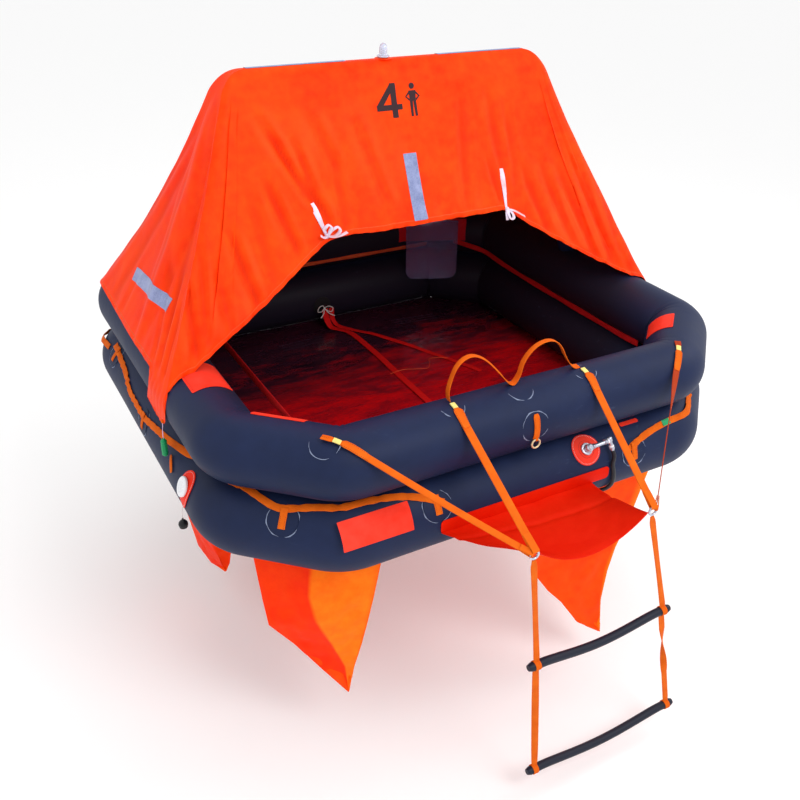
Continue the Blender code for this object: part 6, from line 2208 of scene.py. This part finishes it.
class RAFT_OT_inside(bpy.types.Operator):
    """Add the floor sheet, the inner lines, the floor straps and the clear pouch with its backing"""

    bl_idname = "raft.inside"
    bl_label = "Inside"

    def execute(self, context):
        self.floor_sheet()
        inner_strap("inner_web_back", ((52, -30), (125, -30)), "back_webbing", "inner_grab_line_back")
        inner_strap("inner_web_right", ((-32, -50), (-26, -60), (-5, -62), (20, -58), (30, -45), (38, -30),
                                        (44, -16)), "inner_webbing", "inner_grab_line_right", 1.0)
        self.taut_line()
        floor_top = FLOOR_TOP + GAP + 0.001
        back_y = HALF_Y - LOWER_R - 0.006
        for name, start_x, spots, width in (
                ("long", 0.018, ((0.09, 0.16), (0.088, 0.68), (0.086, 1.1)), 0.028),
                ("short", 0.050, ((0.184, 0.20), (0.33, 0.50), (0.40, 0.66)), 0.022)):
            points = [(start_x, back_y - 0.003, 0.060), (start_x + 0.01, back_y - 0.045, floor_top + 0.010)]
            route = smooth_route(points + [(x, back_y - back, floor_top) for x, back in spots], 12)
            ways = []
            for i, point in enumerate(route):
                t = i / (len(route) - 1)
                point.z = max(point.z, floor_top) + 0.0016 * (0.5 + 0.5 * math.sin(i * 0.9)) * (t > 0.15)
                level = Vector((0, 0.12 * math.sin(i * 0.4), 1))
                ways.append(Vector((0, -1, 0.35)).lerp(level, min(1.0, t * 5)).normalized())
            strap("floor_web_" + name, route, ways, "floor_webbing", ("floor_strap_" + name,), width=width,
                  thick=0.002)
        self.anchor()
        self.floor_lines()
        self.pouch()
        return {"FINISHED"}

    def taut_line(self):
        """The left inner line, drawn straight between its two patches on the left corners."""
        tilt = math.radians(-24)
        places = [inner_spot(bearing, tilt) for bearing in (230.8, 229.9, 229, 228.1, 227.2)]
        corner = places[-1][0]
        for step in range(1, 40):
            sag = 0.004 * math.sin(math.pi * step / 40)
            places.append((Vector((corner.x, corner.y * (1 - step / 20), corner.z - sag)),
                           Vector((1, 0.10 * math.sin(step * 0.3), -0.4))))
        places += [inner_spot(bearing, tilt) for bearing in (132.8, 131.9, 131, 130.1, 129.2)]
        strap("inner_web_left", *zip(*places), "inner_webbing", ("inner_grab_line_left",), **LINE_WEB)

    def floor_sheet(self):
        """The floor: a coated sheet between the tubes, wrinkled where it is drawn to them."""
        reach = math.sqrt(LOWER_R ** 2 - (LOWER_R - 0.0079) ** 2) - 0.0003
        sides = [(normal, distance - reach) for normal, distance in plan_sides()]
        shape, along, across = grid_skin(120, 116, 1.0)
        for vert in shape.verts:
            flat = Vector((vert.co.x * HALF_X, vert.co.y * HALF_Y))
            for normal, distance in sides * 2:
                flat -= normal * max(flat.dot(normal) - distance, 0.0)
            edge = min(distance - flat.dot(normal) for normal, distance in sides)
            wave = noise.noise(Vector((flat.x * 2.2, flat.y * 11.0, 0.4))) * 0.0014
            small = noise.noise(Vector((flat.x * 9.0, flat.y * 26.0, 2.4))) * 0.0007
            seam = -0.0009 * math.exp(-((flat.x - 0.30) / 0.004) ** 2)
            vert.co = (flat.x, flat.y, FLOOR_TOP - 0.0021 + clamp(edge / 0.05) * (wave + small) + seam)
            vert[along] = flat.x
            vert[across] = flat.y
        bmesh.ops.remove_doubles(shape, verts=shape.verts, dist=1e-5)
        bmesh.ops.dissolve_degenerate(shape, edges=shape.edges, dist=1e-6)
        show_sheet("floor_skin", shape, "floor", ("floor_sheet",), (0.0070, -1.0),
                   (2 * (HALF_X - reach), 2 * (HALF_Y - reach)), "stretched", ["lower_tube_skin"], 0.999,
                   outward=False)

    def anchor(self):
        """The round anchor of the floor straps on the back tube, with its tied cord."""
        shape = flat_shape(circle(0.040))
        for vert in shape.verts:
            angle = math.radians(-8) + vert.co.y / LOWER_R
            out = Vector((0, -math.cos(angle), math.sin(angle)))
            vert.co = Vector((0.011 + vert.co.x, HALF_Y, LOWER_Z)) + out * (LOWER_R + 0.0006)
        for vert in extruded(shape):
            vert.co += Vector((0, vert.co.y - HALF_Y, vert.co.z - LOWER_Z)).normalized() * 0.0016
        show("floor_anchor_disc", shape, "cap", sharp=50.0)
        heart = Vector((0.016, HALF_Y - LOWER_R - 0.010, 0.066))
        for name, route in (
                ("a", ((0, 0, 0), (-0.012, -0.010, 0.016), (-0.030, -0.014, 0.012), (-0.036, -0.014, -0.006),
                       (-0.018, -0.012, -0.010), (0, -0.002, 0))),
                ("b", ((0, 0, 0), (0.016, -0.012, 0.010), (0.034, -0.016, 0.000), (0.026, -0.016, -0.016),
                       (0.010, -0.012, -0.010), (0, -0.002, 0))),
                ("c", ((0, 0, 0), (-0.010, -0.016, -0.018), (-0.026, -0.022, -0.034))),
                ("d", ((0, 0, 0), (0.014, -0.018, -0.020), (0.038, -0.024, -0.034)))):
            pipe("anchor_cord_" + name, smooth_route([heart + Vector(p) for p in route], 6), 0.0019, "thread",
                 sides=8)

    def floor_lines(self):
        """A loose pale thread on the floor, and the sheet's faint welded seams near the back."""
        level = FLOOR_TOP + 0.0052
        thread = ((0.06, 0.135), (0.12, 0.142), (0.17, 0.125), (0.215, 0.110), (0.243, 0.140), (0.262, 0.175),
                  (0.30, 0.170), (0.335, 0.150))
        pipe("floor_thread", smooth_route([(x, y, level) for x, y in thread], 8), 0.0009, "back_webbing",
             sides=6)
        for name, x, y, slope in (("right", 0.40, 0.56, -0.10), ("left", -0.14, 0.56, 0.05)):
            for row in range(3):
                points = []
                for step in range(13):
                    away = (step / 12 - 0.5) * 0.20
                    points.append(Vector((x + away, y - row * 0.022 + slope * away, level - 0.002)))
                strap("floor_seam_" + name + "_" + str(row), points, [(0, 0, 1)] * 13, "seam", width=0.0022,
                      thick=0.0003)

    def pouch(self):
        """The clear pouch across the back right corner, slack over its red backing."""
        turn = math.atan2(CUT_Y, CUT_X) / 2
        lean = math.asin((LOWER_R - UPPER_R) / (UPPER_Z - LOWER_Z))
        level = Vector((math.cos(turn), -math.sin(turn), 0))
        inward = Vector((-math.sin(turn), -math.cos(turn), 0))
        up = Vector((0, 0, math.cos(lean))) - inward * math.sin(lean)
        clear = LOWER_R - 0.0008
        middle = Vector((HALF_X - CUT_X - clear * math.tan(turn), HALF_Y - clear, LOWER_Z))
        middle += inward * POUCH_HALF * math.tan(turn)
        low, high = POUCH_RANGE
        tube = skin_tree("upper_tube_skin")
        for name, finish, half, base, depth, bulge, nodes in (
                ("pouch_backing", "backing", 0.152, 0.205, 0.0004, 0.0, ()),
                ("pouch_film", "film", POUCH_HALF, low, 0.0028, 0.0060, ("clear_pouch",))):
            shape, along, across = grid_skin(56, 64, 1.0)
            for vert in shape.verts:
                a, b = vert.co.x, (vert.co.y + 1) / 2
                height = base + (high - base) * b
                short = max(low + POUCH_CORNER - height, 0.0)
                narrow = POUCH_CORNER - math.sqrt(max(POUCH_CORNER ** 2 - short ** 2, 0.0))
                side = a * (half - narrow)
                body = max(0.0, 1 - a * a) ** 0.7 * math.sin(math.pi * clamp(b)) ** 0.7
                slack = noise.noise(Vector((side * 18.0, height * 15.0, 3.0))) * 0.0030
                pleat = 0.0018 * math.sin(side * 90.0 + noise.noise(Vector((side * 9, height * 9, 1))) * 4)
                out = depth + bulge * body + (slack + pleat * (1 - b)) * body * (bulge > 0)
                vert[along] = side
                vert[across] = height
                vert.co = middle + level * side + up * height + inward * max(out, depth)
                if not nodes:
                    spot, normal, _, _ = tube.find_nearest(vert.co)
                    if (vert.co - spot).dot(normal) < 0.0012:
                        vert.co = spot + normal * 0.0012
            show_sheet(name, shape, finish, nodes, (0.0006, 0.0), (2 * half, high - base), "hung",
                       ["upper_tube_skin", "lower_tube_skin"])
        rim = [middle + level * POUCH_HALF * (i / 20 - 1) + up * high + inward * 0.0030 for i in range(41)]
        strap("pouch_hem", rim, [inward] * len(rim), "inner_webbing", width=0.012, thick=0.0016)


class RAFT_OT_underside(bpy.types.Operator):
    """Add the gas cylinder with its straps and the righting strap"""

    bl_idname = "raft.underside"
    bl_label = "Underside"

    def execute(self, context):
        middle = hose_route()[2][-1]
        profile = [(0.0, 0.0), (0.030, 0.002), (0.038, 0.0058), (0.044, 0.012), (0.0485, 0.022),
                   (CYLINDER_R, 0.032), (CYLINDER_R, 0.30), (0.0475, 0.313), (0.040, 0.325), (0.030, 0.334),
                   (0.020, 0.340), (0.0162, 0.345), (0.016, 0.350), (0.0182, 0.3512), (0.019, 0.353),
                   (0.019, 0.381), (0.0182, 0.3836), (0.015, 0.386), (0.0, 0.386)]
        start = middle - Vector((0.386 + 2 * GAP, 0, 0))
        lathe("cylinder_body", profile, start, (1, 0, 0), "cylinder", ("gas_cylinder",), steps=56)
        valve = Matrix.Translation(start + Vector((0.367, 0, 0)))
        places = [valve @ Matrix.Rotation(math.pi * i / 9, 4, "X") @ Matrix.Translation((0, 0, 0.0188))
                  for i in range(18)]
        beads("cylinder_valve_grips", places, (0.0110, 0.0014, 0.0010), "steel")
        flat = HULL_BOTTOM - GAP - WEB_THICK / 2
        lift = CYLINDER_R + 0.0006 + WEB_THICK / 2
        for name, away in (("left", 0.075), ("right", 0.265)):
            centre = Vector((start.x + away, middle.y, middle.z))
            feet = [Vector((centre.x, middle.y + side, flat))
                    for side in (-lift - 0.0295, -lift - 0.004, lift + 0.004, lift + 0.0295)]
            points, outs = arc(centre, lift, range(185, 356, 6))
            strap("cylinder_web_" + name, feet[:2] + points + feet[2:],
                  [(0, 0, -1), (0, -0.7, -0.7)] + outs + [(0, 0.7, -0.7), (0, 0, -1)], "webbing",
                  ("gas_cylinder_strap_" + name,), thick=0.0028)
            self.buckle(name, centre - Vector((0, lift * math.cos(0.5), lift * math.sin(0.5))), middle)
        points = [Vector((RIGHTING_X + 0.0012 * math.sin(step * 0.45), -0.45 + 1.11 * step / 59, flat))
                  for step in range(60)]
        strap("righting_web", points, [(0, 0, -1)] * len(points), "webbing", ("righting_strap",), width=0.04)
        rails = []
        for part in (points[:8], points[51:]):
            for offset in (-0.014, 0.014):
                rail = [point + Vector((offset, 0, -0.0018)) for point in part]
                rails.append((rail, [(0, 0, -1)] * len(rail)))
        sew("righting_stitches", rails, 0.006, 0.0021)
        return {"FINISHED"}

    def buckle(self, name, spot, middle):
        """A flat ladder buckle on a cylinder strap."""
        away = Vector((0, spot.y - middle.y, spot.z - middle.z)).normalized()
        around = Vector((0, -away.z, away.y))
        spot = spot + away * 0.0022
        ahead = Vector((1, 0, 0))
        for step, offset in enumerate((-0.011, 0.0, 0.011)):
            line = [spot + ahead * x + around * offset for x in (-0.0155, -0.008, 0.0, 0.008, 0.0155)]
            pipe("buckle_bar_" + name + "_" + str(step), line, 0.0016, "steel", sides=10)
        for side, x in (("_left", -0.0155), ("_right", 0.0155)):
            line = [spot + ahead * x + around * offset for offset in (-0.012, -0.006, 0.0, 0.006, 0.012)]
            pipe("buckle_side_" + name + side, line, 0.0018, "steel", sides=10)


class RAFT_PT_panel(bpy.types.Panel):
    """Lists the raft's sizes, colours and building steps"""

    bl_idname = "RAFT_PT_panel"
    bl_label = "Life Raft"
    bl_space_type = "VIEW_3D"
    bl_region_type = "UI"
    bl_category = "Life Raft"

    def draw(self, context):
        layout = self.layout
        for group_of_values in (context.scene.raft_sizes, context.scene.raft_colours):
            column = layout.column(align=True)
            for name in group_of_values.bl_rna.properties.keys():
                if name not in ("rna_type", "name"):
                    column.prop(group_of_values, name)
        for step in STEPS:
            layout.operator(step.bl_idname)


STEPS = tuple(value for key, value in list(globals().items()) if key.startswith("RAFT_OT_"))
CLASSES = (RaftSizes, RaftColours) + STEPS + (RAFT_PT_panel,)


def register():
    for kind in CLASSES:
        bpy.utils.register_class(kind)
    bpy.types.Scene.raft_sizes = PointerProperty(type=RaftSizes)
    bpy.types.Scene.raft_colours = PointerProperty(type=RaftColours)


def unregister():
    del bpy.types.Scene.raft_colours
    del bpy.types.Scene.raft_sizes
    for kind in reversed(CLASSES):
        bpy.utils.unregister_class(kind)


def main():
    register()
    for step in STEPS:
        getattr(bpy.ops.raft, step.bl_idname.split(".")[1])()
    bpy.context.view_layer.update()
    with open("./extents.json", "w") as report:
        json.dump({"cad": [list(corner) for corner in CAD_BOX],
                   "visual": [list(corner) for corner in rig.bounds()]}, report)


if __name__ == "__main__":
    main()
